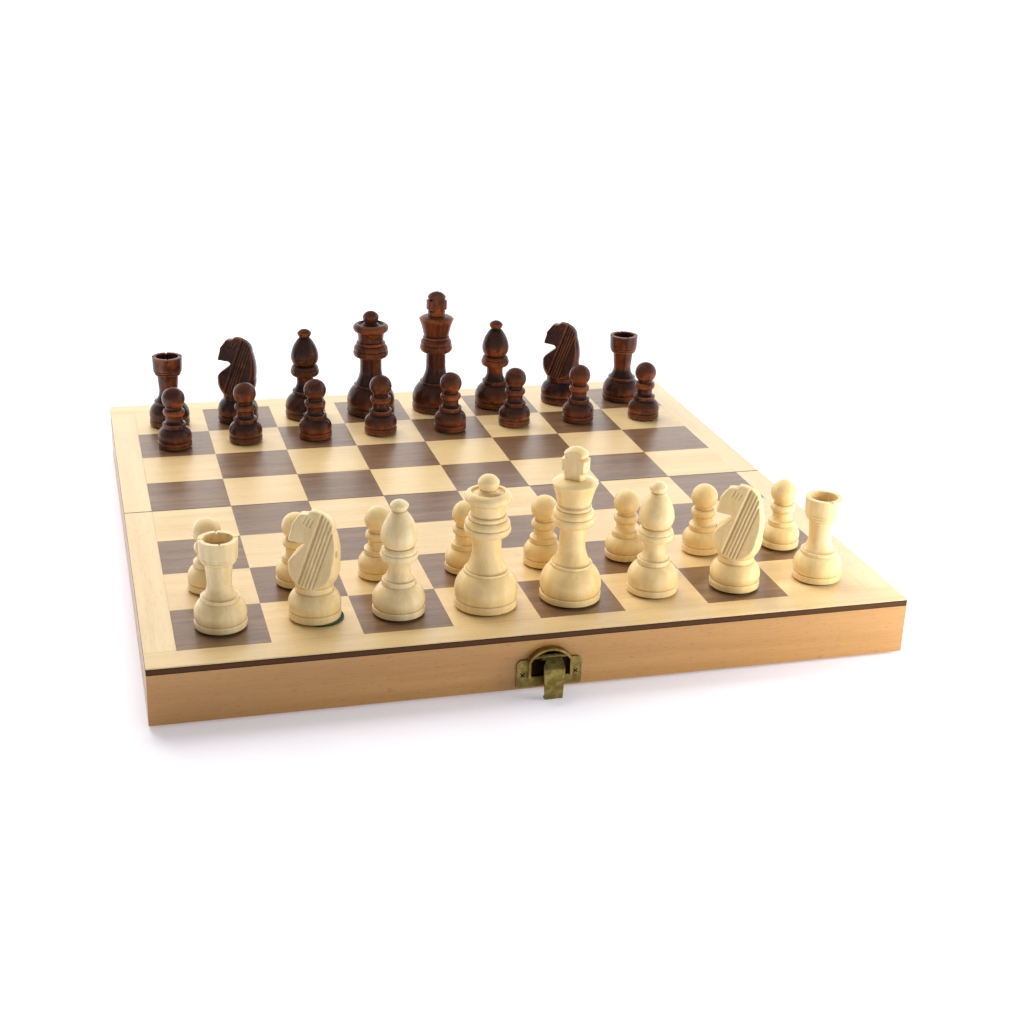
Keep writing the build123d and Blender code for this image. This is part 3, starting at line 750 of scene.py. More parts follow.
class Outline:
    """Half the outline of a turned piece in millimetres, from the middle of its foot upwards.

    Attributes:
        run: The longest chord of a straight side.
    """

    run = 0.8

    def __init__(self, r: float, z: float = 0.0) -> None:
        """Start on the axis at height z and run out along a foot of radius r."""
        self.r, self.z = r, z
        self.points: list[Point] = [(0.0, z), (r, z)]

    def side(self, r: float, rise: float) -> "Outline":
        """A straight side to radius r, climbing by rise, in short runs."""
        start, end = Vector((self.r, self.z)), Vector((r, self.z + rise))
        runs = max(1, math.ceil((end - start).length / self.run))
        self.points += [tuple(start.lerp(end, i / runs)) for i in range(1, runs)]
        return self.reach(r, self.z + rise)

    def reach(self, r: float, z: float) -> "Outline":
        """End a run at radius r and height z."""
        self.r, self.z = r, z
        self.points.append((r, z))
        return self

    def step(self, r: float) -> "Outline":
        """A flat ledge in or out to radius r."""
        return self.side(r, 0.0)

    def curve(self, r: float, rise: float, belly: float, pieces: int = 9) -> "Outline":
        """An arc to radius r.

        Args:
            r: Radius where it ends.
            rise: How far it climbs.
            belly: Its height over the chord, as a share of the chord.
            pieces: How many chords stand for it.

        Returns:
            The outline itself.
        """
        start, end = Vector((self.r, self.z)), Vector((r, self.z + rise))
        chord = end - start
        half = math.atan(2.0 * belly)
        if abs(half) > STRAIGHT:
            radius = chord.length / (2.0 * math.sin(2.0 * half))
            inward = Vector((chord.y, -chord.x)).normalized()
            middle = (start + end) / 2 - inward * radius * math.cos(2.0 * half)
            arm = start - middle
            for i in range(1, pieces):
                turn = Matrix.Rotation(4.0 * half * i / pieces, 2)
                self.points.append(tuple(middle + turn @ arm))
        return self.reach(r, self.z + rise)

    def bead(self, rise: float, out: float) -> "Outline":
        """A rounded ring that ends at the radius where it began."""
        return self.curve(self.r, rise, out / rise, pieces=6)

    def ball(self, d: float, pieces: int = 20) -> "Outline":
        """A ball seated on the current radius, up to its pole.

        Args:
            d: Its diameter.
            pieces: How many chords stand for it.

        Returns:
            The outline itself.
        """
        r = d / 2
        centre = self.z + math.sqrt(r * r - self.r * self.r)
        start = math.asin(self.r / r)
        for i in range(1, pieces + 1):
            angle = start + (math.pi - start) * i / pieces
            self.points.append((max(0.0, r * math.sin(angle)), centre - r * math.cos(angle)))
        self.r, self.z = 0.0, centre + r
        return self

    def dome(self, rise: float, pieces: int = 8) -> "Outline":
        """A round cap, level at its pole.

        Args:
            rise: Its height.
            pieces: How many chords stand for it.

        Returns:
            The outline itself.
        """
        radius = (self.r * self.r + rise * rise) / (2.0 * rise)
        middle = self.z + rise - radius
        start = math.atan2(self.r, self.z - middle)
        for i in range(1, pieces + 1):
            angle = start * (1.0 - i / pieces)
            self.points.append((radius * math.sin(angle), middle + radius * math.cos(angle)))
        self.r, self.z = 0.0, self.z + rise
        return self


class Shop:
    """The maker's bench: what is done to a bmesh on its way to a finished piece."""

    @staticmethod
    def turn(outline: Outline, steps: int) -> BMesh:
        """Spin an outline about the upright axis.

        Args:
            outline: The half outline, closed on the axis here.
            steps: How many sides the round has.

        Returns:
            The turned mesh, in metres.
        """
        bm = bmesh.new()
        points = list(outline.points)
        if points[-1][0] > 0.0:
            points.append((0.0, points[-1][1]))
        verts = [bm.verts.new((r * MM, 0.0, z * MM)) for r, z in points]
        edges = [bm.edges.new(pair) for pair in zip(verts, verts[1:])]
        bmesh.ops.spin(bm, geom=verts + edges, cent=(0, 0, 0), axis=(0, 0, 1), dvec=(0, 0, 0),
                       angle=2 * math.pi, steps=steps, use_merge=True)
        bmesh.ops.remove_doubles(bm, verts=bm.verts[:], dist=COINCIDENT)
        bmesh.ops.recalc_face_normals(bm, faces=bm.faces[:])
        return bm

    @staticmethod
    def thicken(bm: BMesh, depth: tuple[float, float, float]) -> None:
        """Draw a flat sheet out into a closed solid.

        Args:
            bm: The sheet.
            depth: How far and which way, in millimetres.
        """
        made = bmesh.ops.extrude_face_region(bm, geom=bm.faces[:])["geom"]
        bmesh.ops.translate(bm, verts=[g for g in made if isinstance(g, bmesh.types.BMVert)],
                            vec=tuple(d * MM for d in depth))
        bmesh.ops.recalc_face_normals(bm, faces=bm.faces[:])

    @staticmethod
    def soften(bm: BMesh, width: float, least: float = 25.0,
               segments: int = 2) -> list[bmesh.types.BMFace]:
        """Round every sharp edge.

        Args:
            bm: The mesh.
            width: How far the rounding reaches from the edge, in millimetres.
            least: The smallest angle between two faces that counts as sharp, in degrees.
            segments: How many faces round the edge.

        Returns:
            The faces of the roundings.
        """
        sharp = [e for e in bm.edges
                 if e.is_manifold and e.calc_face_angle(0.0) > math.radians(least)]
        return bmesh.ops.bevel(bm, geom=sharp, offset=width * MM, offset_type="OFFSET",
                               segments=segments, profile=0.5, affect="EDGES",
                               clamp_overlap=True, material=-1)["faces"]

    @staticmethod
    def mark(bm: BMesh, tint: float, rounds: int = 2, gain: float = 0.5) -> None:
        """Note on each vertex how it stands out, whether it faces up, and its piece's tint; the
        first drives worn edges and painted shade in hollows, the second painted shade on top.

        Args:
            bm: The mesh.
            tint: A value of the whole piece.
            rounds: How often the wear is spread to its neighbours.
            gain: How strongly an angle counts.
        """
        wear_and_shade, up, shade = (bm.verts.layers.float.new(name) for name in ("wear_and_shade", "up", "tint"))
        bm.normal_update()
        for v in bm.verts:
            angles = [e.calc_face_angle_signed(0.0) for e in v.link_edges if e.is_manifold]
            v[wear_and_shade] = sum(angles) * gain if angles else 0.0
            v[up], v[shade] = v.normal.z, tint
        for _ in range(rounds):
            spread = {v: (v[wear_and_shade] + sum(e.other_vert(v)[wear_and_shade] for e in v.link_edges))
                      / (1 + len(v.link_edges)) for v in bm.verts}
            for v, value in spread.items():
                v[wear_and_shade] = value
        for v in bm.verts:
            v[wear_and_shade] = min(1.0, max(-1.0, v[wear_and_shade]))

    @staticmethod
    def copy(node: str, keep: Keep | None = None, flat: bool = False) -> BMesh:
        """Copy a CAD node's mesh and merge its loose triangles.

        Args:
            node: The node's name.
            keep: A test of a point just inside each face; faces that fail it are left out.
            flat: Whether the triangles of its flat faces are merged too.

        Returns:
            The merged copy.
        """
        bm = bmesh.new()
        bm.from_mesh(frame["nodes"][node].data)
        bm.normal_update()
        if keep:
            lost = [f for f in bm.faces if not keep(f.calc_center_median() - f.normal * INSIDE)]
            bmesh.ops.delete(bm, geom=lost, context="FACES")
        bmesh.ops.remove_doubles(bm, verts=bm.verts[:], dist=TOUCHING)
        if flat:
            bmesh.ops.dissolve_limit(bm, angle_limit=FLAT, verts=bm.verts[:], edges=bm.edges[:])
        return bm

    @staticmethod
    def finish(bm: BMesh, name: str, body: str, material: Material, slot: str,
               replaces: Sequence[str] = (), smooth: bool = False) -> None:
        """Make the object, dress it and hang it on its body.

        Args:
            bm: The mesh, in place.
            name: The object's name.
            body: The CAD body that it rides on.
            material: Its finish.
            slot: The record's material slot; not used.
            replaces: CAD nodes that it stands for.
            smooth: Whether its faces are shaded smooth.
        """
        for face in bm.faces:
            face.smooth = smooth
        mesh = as_mesh(bm, name)
        mesh.materials.append(material)
        piece = stand(name, mesh)
        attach(piece, body)
        if replaces:
            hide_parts(*replaces)
        log.info("%s: %d faces on %s", name, len(mesh.polygons), body)


@dataclass(frozen=True)
class Pedestal:
    """The foot, groove, bell and ring that every piece stands on, in millimetres."""

    base_d: float
    foot_h: float
    bell_h: float
    bell_belly: float
    ring_d: float
    ring_h: float
    groove: float = 0.45
    foot_belly: float = 0.2
    ledge: float = 0.6

    def start(self) -> Outline:
        """Draw it.

        Returns:
            The outline, on the ledge of its ring.
        """
        r = self.base_d / 2
        line = Outline(r - self.groove).curve(r, self.groove, self.foot_belly, pieces=4)
        line.side(r, self.foot_h - 2 * self.groove)
        line.curve(r - self.groove, self.groove, self.foot_belly, pieces=4)
        line.curve(self.ring_d / 2, self.bell_h, self.bell_belly, pieces=16)
        return line.side(self.ring_d / 2, self.ring_h).step(self.ring_d / 2 - self.ledge)


@dataclass(frozen=True)
class Stem:
    """A hollow flare up from the ring to the waist, then an almost straight neck."""

    flare_h: float
    hollow: float
    waist_d: float
    height: float
    neck_d: float

    def draw(self, line: Outline) -> Outline:
        """Add it to an outline."""
        line.curve(self.waist_d / 2, self.flare_h, self.hollow, pieces=10)
        return line.side(self.neck_d / 2, self.height)


@dataclass(frozen=True)
class Collar:
    """A swelling ring, a groove, and a second ring that tapers like a cap."""

    d: float
    height: float
    cap_d: float
    cap_h: float
    swell: float = 0.7
    groove: float = 0.25
    belly: float = 0.18

    def draw(self, line: Outline) -> Outline:
        """Add it to an outline.

        Args:
            line: The outline.

        Returns:
            The same outline.
        """
        r = self.d / 2
        line.step(r - self.swell).curve(r, self.height, self.belly, pieces=8)
        return line.step(r - self.groove).curve(self.cap_d / 2, self.cap_h, self.belly, pieces=8)


@dataclass(frozen=True)
class Chessman:
    """A turned piece.

    Attributes:
        foot: What it stands on.
        stem: What rises from there.
        edge: How far its edges are rounded, in millimetres.
        bead: How far its beads swell out, in millimetres.
        sides: How many sides its round has.
    """

    foot: Pedestal
    stem: Stem
    edge: float = 0.13
    bead: float = 0.35
    sides: int = 72

    def outline(self) -> Outline:
        """The piece's half outline."""
        raise NotImplementedError

    def start(self) -> Outline:
        """The half outline of its foot and stem."""
        return self.stem.draw(self.foot.start())

    def carve(self, bm: BMesh) -> None:
        """Cut what can't be turned; most pieces have nothing of the kind."""

    def shape(self) -> BMesh:
        """Turn the piece, carve it and soften its edges.

        Returns:
            The mesh, standing on the origin.
        """
        bm = Shop.turn(self.outline(), self.sides)
        self.carve(bm)
        Shop.soften(bm, self.edge)
        return bm


@dataclass(frozen=True)
class Pawn(Chessman):
    """Ball on a thick collar over a short hollow stem."""

    foot: Pedestal = Pedestal(15.8, 2.7, 6.4, 0.19, 10.9, 2.2)
    stem: Stem = Stem(1.9, -0.15, 7.8, 1.9, 7.8)
    collar_d: float = 8.9
    collar_h: float = 3.0
    collar_out: float = 0.6
    throat_d: float = 7.4
    throat_h: float = 1.15
    ball_d: float = 10.7

    def outline(self) -> Outline:
        """The piece's half outline."""
        line = self.start().step(self.collar_d / 2).bead(self.collar_h, self.collar_out)
        return line.step(self.throat_d / 2).side(self.throat_d / 2, self.throat_h).ball(self.ball_d)


@dataclass(frozen=True)
class Rook(Chessman):
    """Waisted tower with a cupped, notched turret on two beads."""

    foot: Pedestal = Pedestal(19.3, 2.55, 7.75, 0.16, 14.1, 1.4)
    stem: Stem = Stem(6.8, -0.12, 9.2, 6.4, 10.2)
    sides: int = 96
    cove_d: float = 12.0
    cove_h: float = 1.3
    bead_d: float = 13.0
    bead_h: float = 1.15
    turret_d: float = 13.9
    rim_d: float = 14.4
    turret_h: float = 6.5
    cup_d: float = 10.8
    cup_h: float = 4.6
    notch: float = 1.1
    notches: int = 4

    def outline(self) -> Outline:
        """The piece's half outline."""
        line = self.start().step(self.cove_d / 2).bead(self.cove_h, self.bead)
        line.step(self.bead_d / 2).bead(self.bead_h, self.bead)
        line.step(self.turret_d / 2).side(self.rim_d / 2, self.turret_h)
        return line.step(self.cup_d / 2).side(self.cup_d / 2 - self.bead, -self.cup_h)

    def carve(self, bm: BMesh) -> None:
        """Nick the rim of the turret in four places.

        Args:
            bm: The turned piece.
        """
        top, apart = max(v.co.z for v in bm.verts), 360.0 / self.notches
        for v in bm.verts:
            if top - v.co.z < TOUCHING and v.co.xy.length > self.cup_d / 2 * MM - TOUCHING:
                turn = math.degrees(math.atan2(v.co.y, v.co.x)) % apart
                if min(turn, apart - turn) < 1.0:
                    v.co.z -= self.notch / math.sqrt(2) * MM


@dataclass(frozen=True)
class Bishop(Chessman):
    """Pear mitre with a button over a double ring."""

    foot: Pedestal = Pedestal(19.8, 2.6, 8.7, 0.18, 12.7, 2.0)
    stem: Stem = Stem(5.3, -0.1, 8.2, 2.3, 8.8)
    collar: Collar = Collar(13.8, 3.1, 11.2, 2.1)
    throat_d: float = 10.2
    mitre_d: float = 13.6
    mitre_low: float = 5.4
    mitre_high: float = 8.8
    button_neck_d: float = 4.8
    button_d: float = 7.0
    button_low: float = 2.2
    button_h: float = 1.9

    def outline(self) -> Outline:
        """The piece's half outline."""
        line = self.collar.draw(self.start()).step(self.throat_d / 2)
        line.curve(self.mitre_d / 2, self.mitre_low, belly=0.12, pieces=10)
        line.curve(self.button_neck_d / 2, self.mitre_high, belly=0.08, pieces=12)
        line.curve(self.button_d / 2, self.button_low, belly=0.12, pieces=6)
        return line.dome(self.button_h)


@dataclass(frozen=True)
class Queen(Chessman):
    """Coronet with a thick round rim, dished on top, and a domed finial."""

    foot: Pedestal = Pedestal(24.0, 3.0, 10.5, 0.15, 17.0, 0.9)
    stem: Stem = Stem(8.6, -0.07, 10.9, 5.7, 10.8)
    collar: Collar = Collar(17.2, 3.1, 15.0, 2.8)
    step_d: float = 14.0
    step_h: float = 1.7
    crown_foot_d: float = 12.9
    crown_d: float = 14.0
    crown_h: float = 5.0
    rim_foot_d: float = 14.8
    rim_h: float = 4.1
    dish_d: float = 12.8
    dish_edge_d: float = 12.2
    dish_drop: float = 0.8
    dish_rise: float = 1.65
    throat_d: float = 6.4
    finial_d: float = 8.0
    finial_h: float = 3.15
    finial_dome: float = 2.5

    def outline(self) -> Outline:
        """The piece's half outline."""
        line = self.collar.draw(self.start()).step(self.step_d / 2).bead(self.step_h, self.bead)
        line.step(self.crown_foot_d / 2).curve(self.crown_d / 2, self.crown_h, belly=-0.06)
        line.step(self.rim_foot_d / 2).curve(self.dish_d / 2, self.rim_h, belly=0.475, pieces=16)
        line.side(self.dish_edge_d / 2, -self.dish_drop)
        line.curve(self.throat_d / 2, self.dish_rise, belly=-0.15)
        return line.curve(self.finial_d / 2, self.finial_h, belly=0.1).dome(self.finial_dome)


@dataclass(frozen=True)
class King(Chessman):
    """Conical crown carrying a flat-sided cross."""

    foot: Pedestal = Pedestal(23.5, 2.7, 10.7, 0.155, 16.0, 1.0)
    stem: Stem = Stem(9.6, -0.08, 10.0, 5.8, 9.7)
    collar: Collar = Collar(15.8, 3.5, 13.8, 2.9)
    step_d: float = 12.9
    step_h: float = 1.5
    crown_foot_d: float = 12.6
    crown_h: float = 9.0
    crown_d: float = 17.6
    shoulder_h: float = 1.5
    throat_d: float = 8.6
    cross_foot_d: float = 8.8
    cross_d: float = 10.5
    cross_h: float = 12.4
    cross_t: float = 6.4
    cross_sunk: float = 0.05
    cross_sides: int = 64
    cross_edge: float = 0.25
    cross_least: float = 40.0
    groove_d: float = 7.7
    groove_w: float = 1.4
    low_groove: float = 2.9
    high_groove: float = 8.5
    cap_d: float = 9.2
    cap_h: float = 0.8

    def outline(self) -> Outline:
        """The piece's half outline, up to the crown's shoulder."""
        line = self.collar.draw(self.start()).step(self.step_d / 2).bead(self.step_h, self.bead)
        line.step(self.crown_foot_d / 2).curve(self.crown_d / 2, self.crown_h, belly=-0.03)
        return line.curve(self.throat_d / 2, self.shoulder_h, belly=0.12, pieces=5)

    def shape(self) -> BMesh:
        """Turn the piece and set the cross on it.

        Returns:
            The mesh, standing on the origin.
        """
        bm = super().shape()
        mesh = as_mesh(self.cross(self.outline().z - self.cross_sunk), "cross")
        bm.from_mesh(mesh)
        bpy.data.meshes.remove(mesh)
        return bm

    def cross(self, z: float) -> BMesh:
        """A turned button, grooved above and below its arms and cut flat on two sides.

        Args:
            z: Height of its foot.

        Returns:
            The cross's mesh.
        """
        half = self.groove_w / 2
        line = Outline(self.throat_d / 2, z).side(self.cross_foot_d / 2, self.low_groove - half)
        line.side(self.groove_d / 2, half).side(self.cross_d / 2, half)
        line.side(self.cross_d / 2, self.high_groove - self.low_groove - self.groove_w)
        line.side(self.groove_d / 2, half).side(self.cap_d / 2, half)
        line.side(self.cap_d / 2, self.cap_h).dome(z + self.cross_h - line.z)
        bm = Shop.turn(line, self.cross_sides)
        for side in (-1.0, 1.0):
            cut = bmesh.ops.bisect_plane(bm, geom=bm.verts[:] + bm.edges[:] + bm.faces[:],
                                         dist=COINCIDENT, clear_outer=True,
                                         plane_co=(0, side * self.cross_t / 2 * MM, 0),
                                         plane_no=(0, side, 0))
            rim = [e for e in cut["geom_cut"] if isinstance(e, bmesh.types.BMEdge)]
            bmesh.ops.contextual_create(bm, geom=rim)
        bmesh.ops.recalc_face_normals(bm, faces=bm.faces[:])
        Shop.soften(bm, self.cross_edge, self.cross_least)
        return bm


@dataclass(frozen=True)
class Knight:
    """A carved horse's head on a turned foot, eased from the solid's own form.

    Attributes:
        voxel: Size of the cells that its surface is rebuilt from, in millimetres.
        easing: How often its surface is smoothed.
        wear_rounds: How often its wear is spread to its neighbours.
        wear_gain: How strongly an angle counts as wear.
        knotted: The knight with a knot on the back of its head.
        knot_up: How high the knot is over the board, in millimetres.
        knot_tall: Half its height, in millimetres.
        knot_wide: Half its width, in millimetres.
        knot_lean: Which way the head's back faces: how far to y for each step to x.
    """

    voxel: float = 0.26
    easing: int = 2
    wear_rounds: int = 3
    wear_gain: float = 0.6
    knotted: str = "light_knight_b"
    knot_up: float = 27.0
    knot_tall: float = 1.3
    knot_wide: float = 0.7
    knot_lean: float = -0.9

    def knot(self, bm: BMesh) -> None:
        """Darken a small upright knot on the back of the marked head.

        Args:
            bm: The marked head.
        """
        wear_and_shade = bm.verts.layers.float["wear_and_shade"]
        height = BOARD_TOP + self.knot_up
        level = [v.co for v in bm.verts if abs(v.co.z / MM - height) < self.knot_tall]
        back = max(level, key=lambda p: p.x + self.knot_lean * p.y)
        for v in bm.verts:
            off = (v.co - back) / MM
            wide = (off.x ** 2 + off.y ** 2) / self.knot_wide ** 2
            if wide + ((v.co.z / MM - height) / self.knot_tall) ** 2 < 1.0:
                v[wear_and_shade] = -1.0

    def shape(self, node: str, tint: float) -> BMesh:
        """Copy the solid without its felt, rebuild its skin evenly, ease and mark it.

        Args:
            node: The CAD node.
            tint: How warm its wood is, from 0 to 1.

        Returns:
            The mesh, in its place on the board.
        """
        bm = Shop.copy(node, keep=lambda p: p.z > (BOARD_TOP + FELT) * MM)
        bmesh.ops.recalc_face_normals(bm, faces=bm.faces[:])
        mesh = as_mesh(bm, "knight")
        blank = stand("knight", mesh)
        skin = blank.modifiers.new("skin", "REMESH")
        skin.mode = "VOXEL"
        skin.voxel_size = self.voxel * MM
        state = bpy.context.evaluated_depsgraph_get()
        eased = bpy.data.meshes.new_from_object(blank.evaluated_get(state))
        bm = bmesh.new()
        bm.from_mesh(eased)
        for _ in range(self.easing):
            bmesh.ops.smooth_vert(bm, verts=bm.verts[:], factor=0.5, use_axis_x=True,
                                  use_axis_y=True, use_axis_z=True)
        bpy.data.objects.remove(blank)
        for used in (mesh, eased):
            bpy.data.meshes.remove(used)
        Shop.mark(bm, tint, self.wear_rounds, self.wear_gain)
        if node == self.knotted:
            self.knot(bm)
        return bm


class Chessmen:
    """All thirty-two pieces and their felts.

    Attributes:
        king_turn: How far the light king is turned, in degrees.
        tints: How many tints of wood there are.
        stride: How many tints lie between one piece and the next.
        slice: Where a foot is measured, in millimetres over its felt.
        felt_slice: Where a felt is measured, in millimetres over the board.
        felt_edge: How far a felt's edge is rounded, in millimetres.
        felt_sides: How many sides a felt has.
    """

    king_turn = -39.0
    tints = 16
    stride = 7
    slice = (0.05, 2.5)
    felt_slice = (-0.05, 0.05)
    felt_edge = 0.12
    felt_sides = 64

    def __init__(self, finishes: dict[str, Material]) -> None:
        """Turn one of each kind.

        Args:
            finishes: The materials by slot.
        """
        self.finishes = finishes
        self.knight = Knight()
        self.turned = {man.__name__.lower(): man().shape()
                       for man in (Pawn, Rook, Bishop, Queen, King)}

    def build(self) -> None:
        """Place every piece that the frame holds."""
        for army in Army:
            names = [n for n in frame["nodes"]
                     if n.startswith(army.value + "_") and n + "_piece" in frame["bodies"]]
            for i, node in enumerate(sorted(names)):
                tint = (i * self.stride % self.tints) / (self.tints - 1)
                self.place(node, node.split("_")[1], army, tint)
        for bm in self.turned.values():
            bm.free()

    def place(self, node: str, kind: str, army: Army, tint: float) -> None:
        """Make one piece with its felt.

        Args:
            node: The CAD node it stands for.
            kind: Its kind.
            army: Its side.
            tint: How warm its wood is, from 0 to 1.
        """
        if kind == "knight":
            bm = self.knight.shape(node, tint)
        else:
            foot = self.centre(node, *(FELT + z for z in self.slice))
            bm = self.turned[kind].copy()
            if node == "light_king":
                bmesh.ops.rotate(bm, verts=bm.verts[:], cent=(0, 0, 0),
                                 matrix=Matrix.Rotation(math.radians(self.king_turn), 3, "Z"))
            bmesh.ops.translate(bm, verts=bm.verts[:],
                                vec=(foot.x, foot.y, (BOARD_TOP + FELT) * MM))
            Shop.mark(bm, tint if kind != "pawn" else 0.5 + tint / 2)
        body, slot = node + "_piece", "boxwood" if army is Army.LIGHT else "stained_wood"
        Shop.finish(bm, node + "_wood", body, self.finishes[slot], slot, [node], smooth=True)
        self.felt(node, body)

    @staticmethod
    def centre(node: str, low: float, high: float) -> Vector:
        """The middle of a slice of a node, and half its width.

        Args:
            node: The CAD node.
            low: Height of the slice's bottom over the board, in millimetres.
            high: Height of its top.

        Returns:
            x, y and half the width along x, in metres.
        """
        places = [v.co for v in frame["nodes"][node].data.vertices
                  if low <= v.co.z / MM - BOARD_TOP <= high]
        xs, ys = [p.x for p in places], [p.y for p in places]
        return Vector(((min(xs) + max(xs)) / 2, (min(ys) + max(ys)) / 2, (max(xs) - min(xs)) / 2))

    def felt(self, node: str, body: str) -> None:
        """Cut the felt under a piece.

        Args:
            node: The CAD node that it belongs to.
            body: The body that it rides on.
        """
        disc = self.centre(node, *self.felt_slice)
        bm = bmesh.new()
        bmesh.ops.create_circle(bm, cap_ends=True, radius=disc.z, segments=self.felt_sides)
        Shop.thicken(bm, (0, 0, FELT))
        Shop.soften(bm, self.felt_edge)
        bmesh.ops.translate(bm, verts=bm.verts[:], vec=(disc.x, disc.y, BOARD_TOP * MM))
        Shop.finish(bm, node + "_felt", body, self.finishes["green_felt"], "green_felt")


@dataclass
class Joinery:
    """The two trays: panels, veneers, rails and linings.

    Attributes:
        finishes: The materials by name.
        rail_edge: How far the rails' edges are eased, in millimetres.
        veneer_edge: The same of the border's veneer.
        core_edge: The same of the panel.
        least: The smallest angle that is eased, in degrees.
        segments: How many faces round an edge.
        rows: How many rows of squares a tray has.
    """

    finishes: dict[str, Material]
    rail_edge: float = 0.35
    veneer_edge: float = 0.16
    core_edge: float = 0.12
    least: float = 30.0
    segments: int = 3
    rows: int = 4

    def build(self) -> None:
        """Dress both trays."""
        for half in ("front", "rear"):
            body = half + "_tray"
            self.keep(half + "_light_squares", "beech_squares")
            self.keep(half + "_dark_squares", "walnut_squares")
            self.keep(half + "_lining", "green_felt")
            self.eased(half + "_board_core", body, "panel", "hdf", self.core_edge)
            for rail, finish in (("outer_rail", "rail_x"), ("hinge_rail", "rail_x"),
                                 ("side_rails", "rail_y")):
                self.eased(f"{half}_{rail}", body, finish, "beech_rail", self.rail_edge)
            self.border(half, body)

    def keep(self, node: str, finish: str) -> None:
        """Dress a CAD node as it is.

        Args:
            node: The node.
            finish: Its material's name.
        """
        thing = frame["nodes"][node]
        thing.data.materials.clear()
        thing.data.materials.append(self.finishes[finish])
        log.info("%s: kept, dressed in %s", node, finish)

    def eased(self, node: str, body: str, finish: str, slot: str, width: float, name: str = "",
              keep: Keep | None = None) -> None:
        """Stand an eased copy in for a CAD node.

        Args:
            node: The node.
            body: Its body.
            finish: Its material's name.
            slot: The record's slot.
            width: How far its edges are rounded, in millimetres.
            name: The copy's name, if it isn't the node's own with a suffix.
            keep: A test of a point just inside each face; faces that fail it are left out.
        """
        bm = Shop.copy(node, keep, flat=True)
        Shop.soften(bm, width, self.least, self.segments)
        Shop.finish(bm, name or node + "_eased", body, self.finishes[finish], slot, [node])

    def border(self, half: str, body: str) -> None:
        """The border's veneer: one strip along the outer edge and one along each side.

        Args:
            half: Which tray.
            body: Its body.
        """
        node, inner = half + "_border", (self.rows * SQUARE + SEAM) * MM
        for finish, outer in (("beech_strip_x", True), ("beech_strip_y", False)):
            self.eased(node, body, finish, "beech_veneer", self.veneer_edge, f"{half}_{finish}",
                       lambda p: (abs(p.y - BALANCE * MM) > inner) == outer)


@dataclass(frozen=True)
class Arch:
    """The catch plate's window, in millimetres: sizes from its own foot, then where it stands."""

    half: float = 8.4
    rise: float = 4.9
    rim: float = 0.9
    shoulder: float = 10.9
    sill: float = 3.9
    face: float = -143.775
    lift: float = 2.5
    thick: float = 0.2
    pieces: int = 16


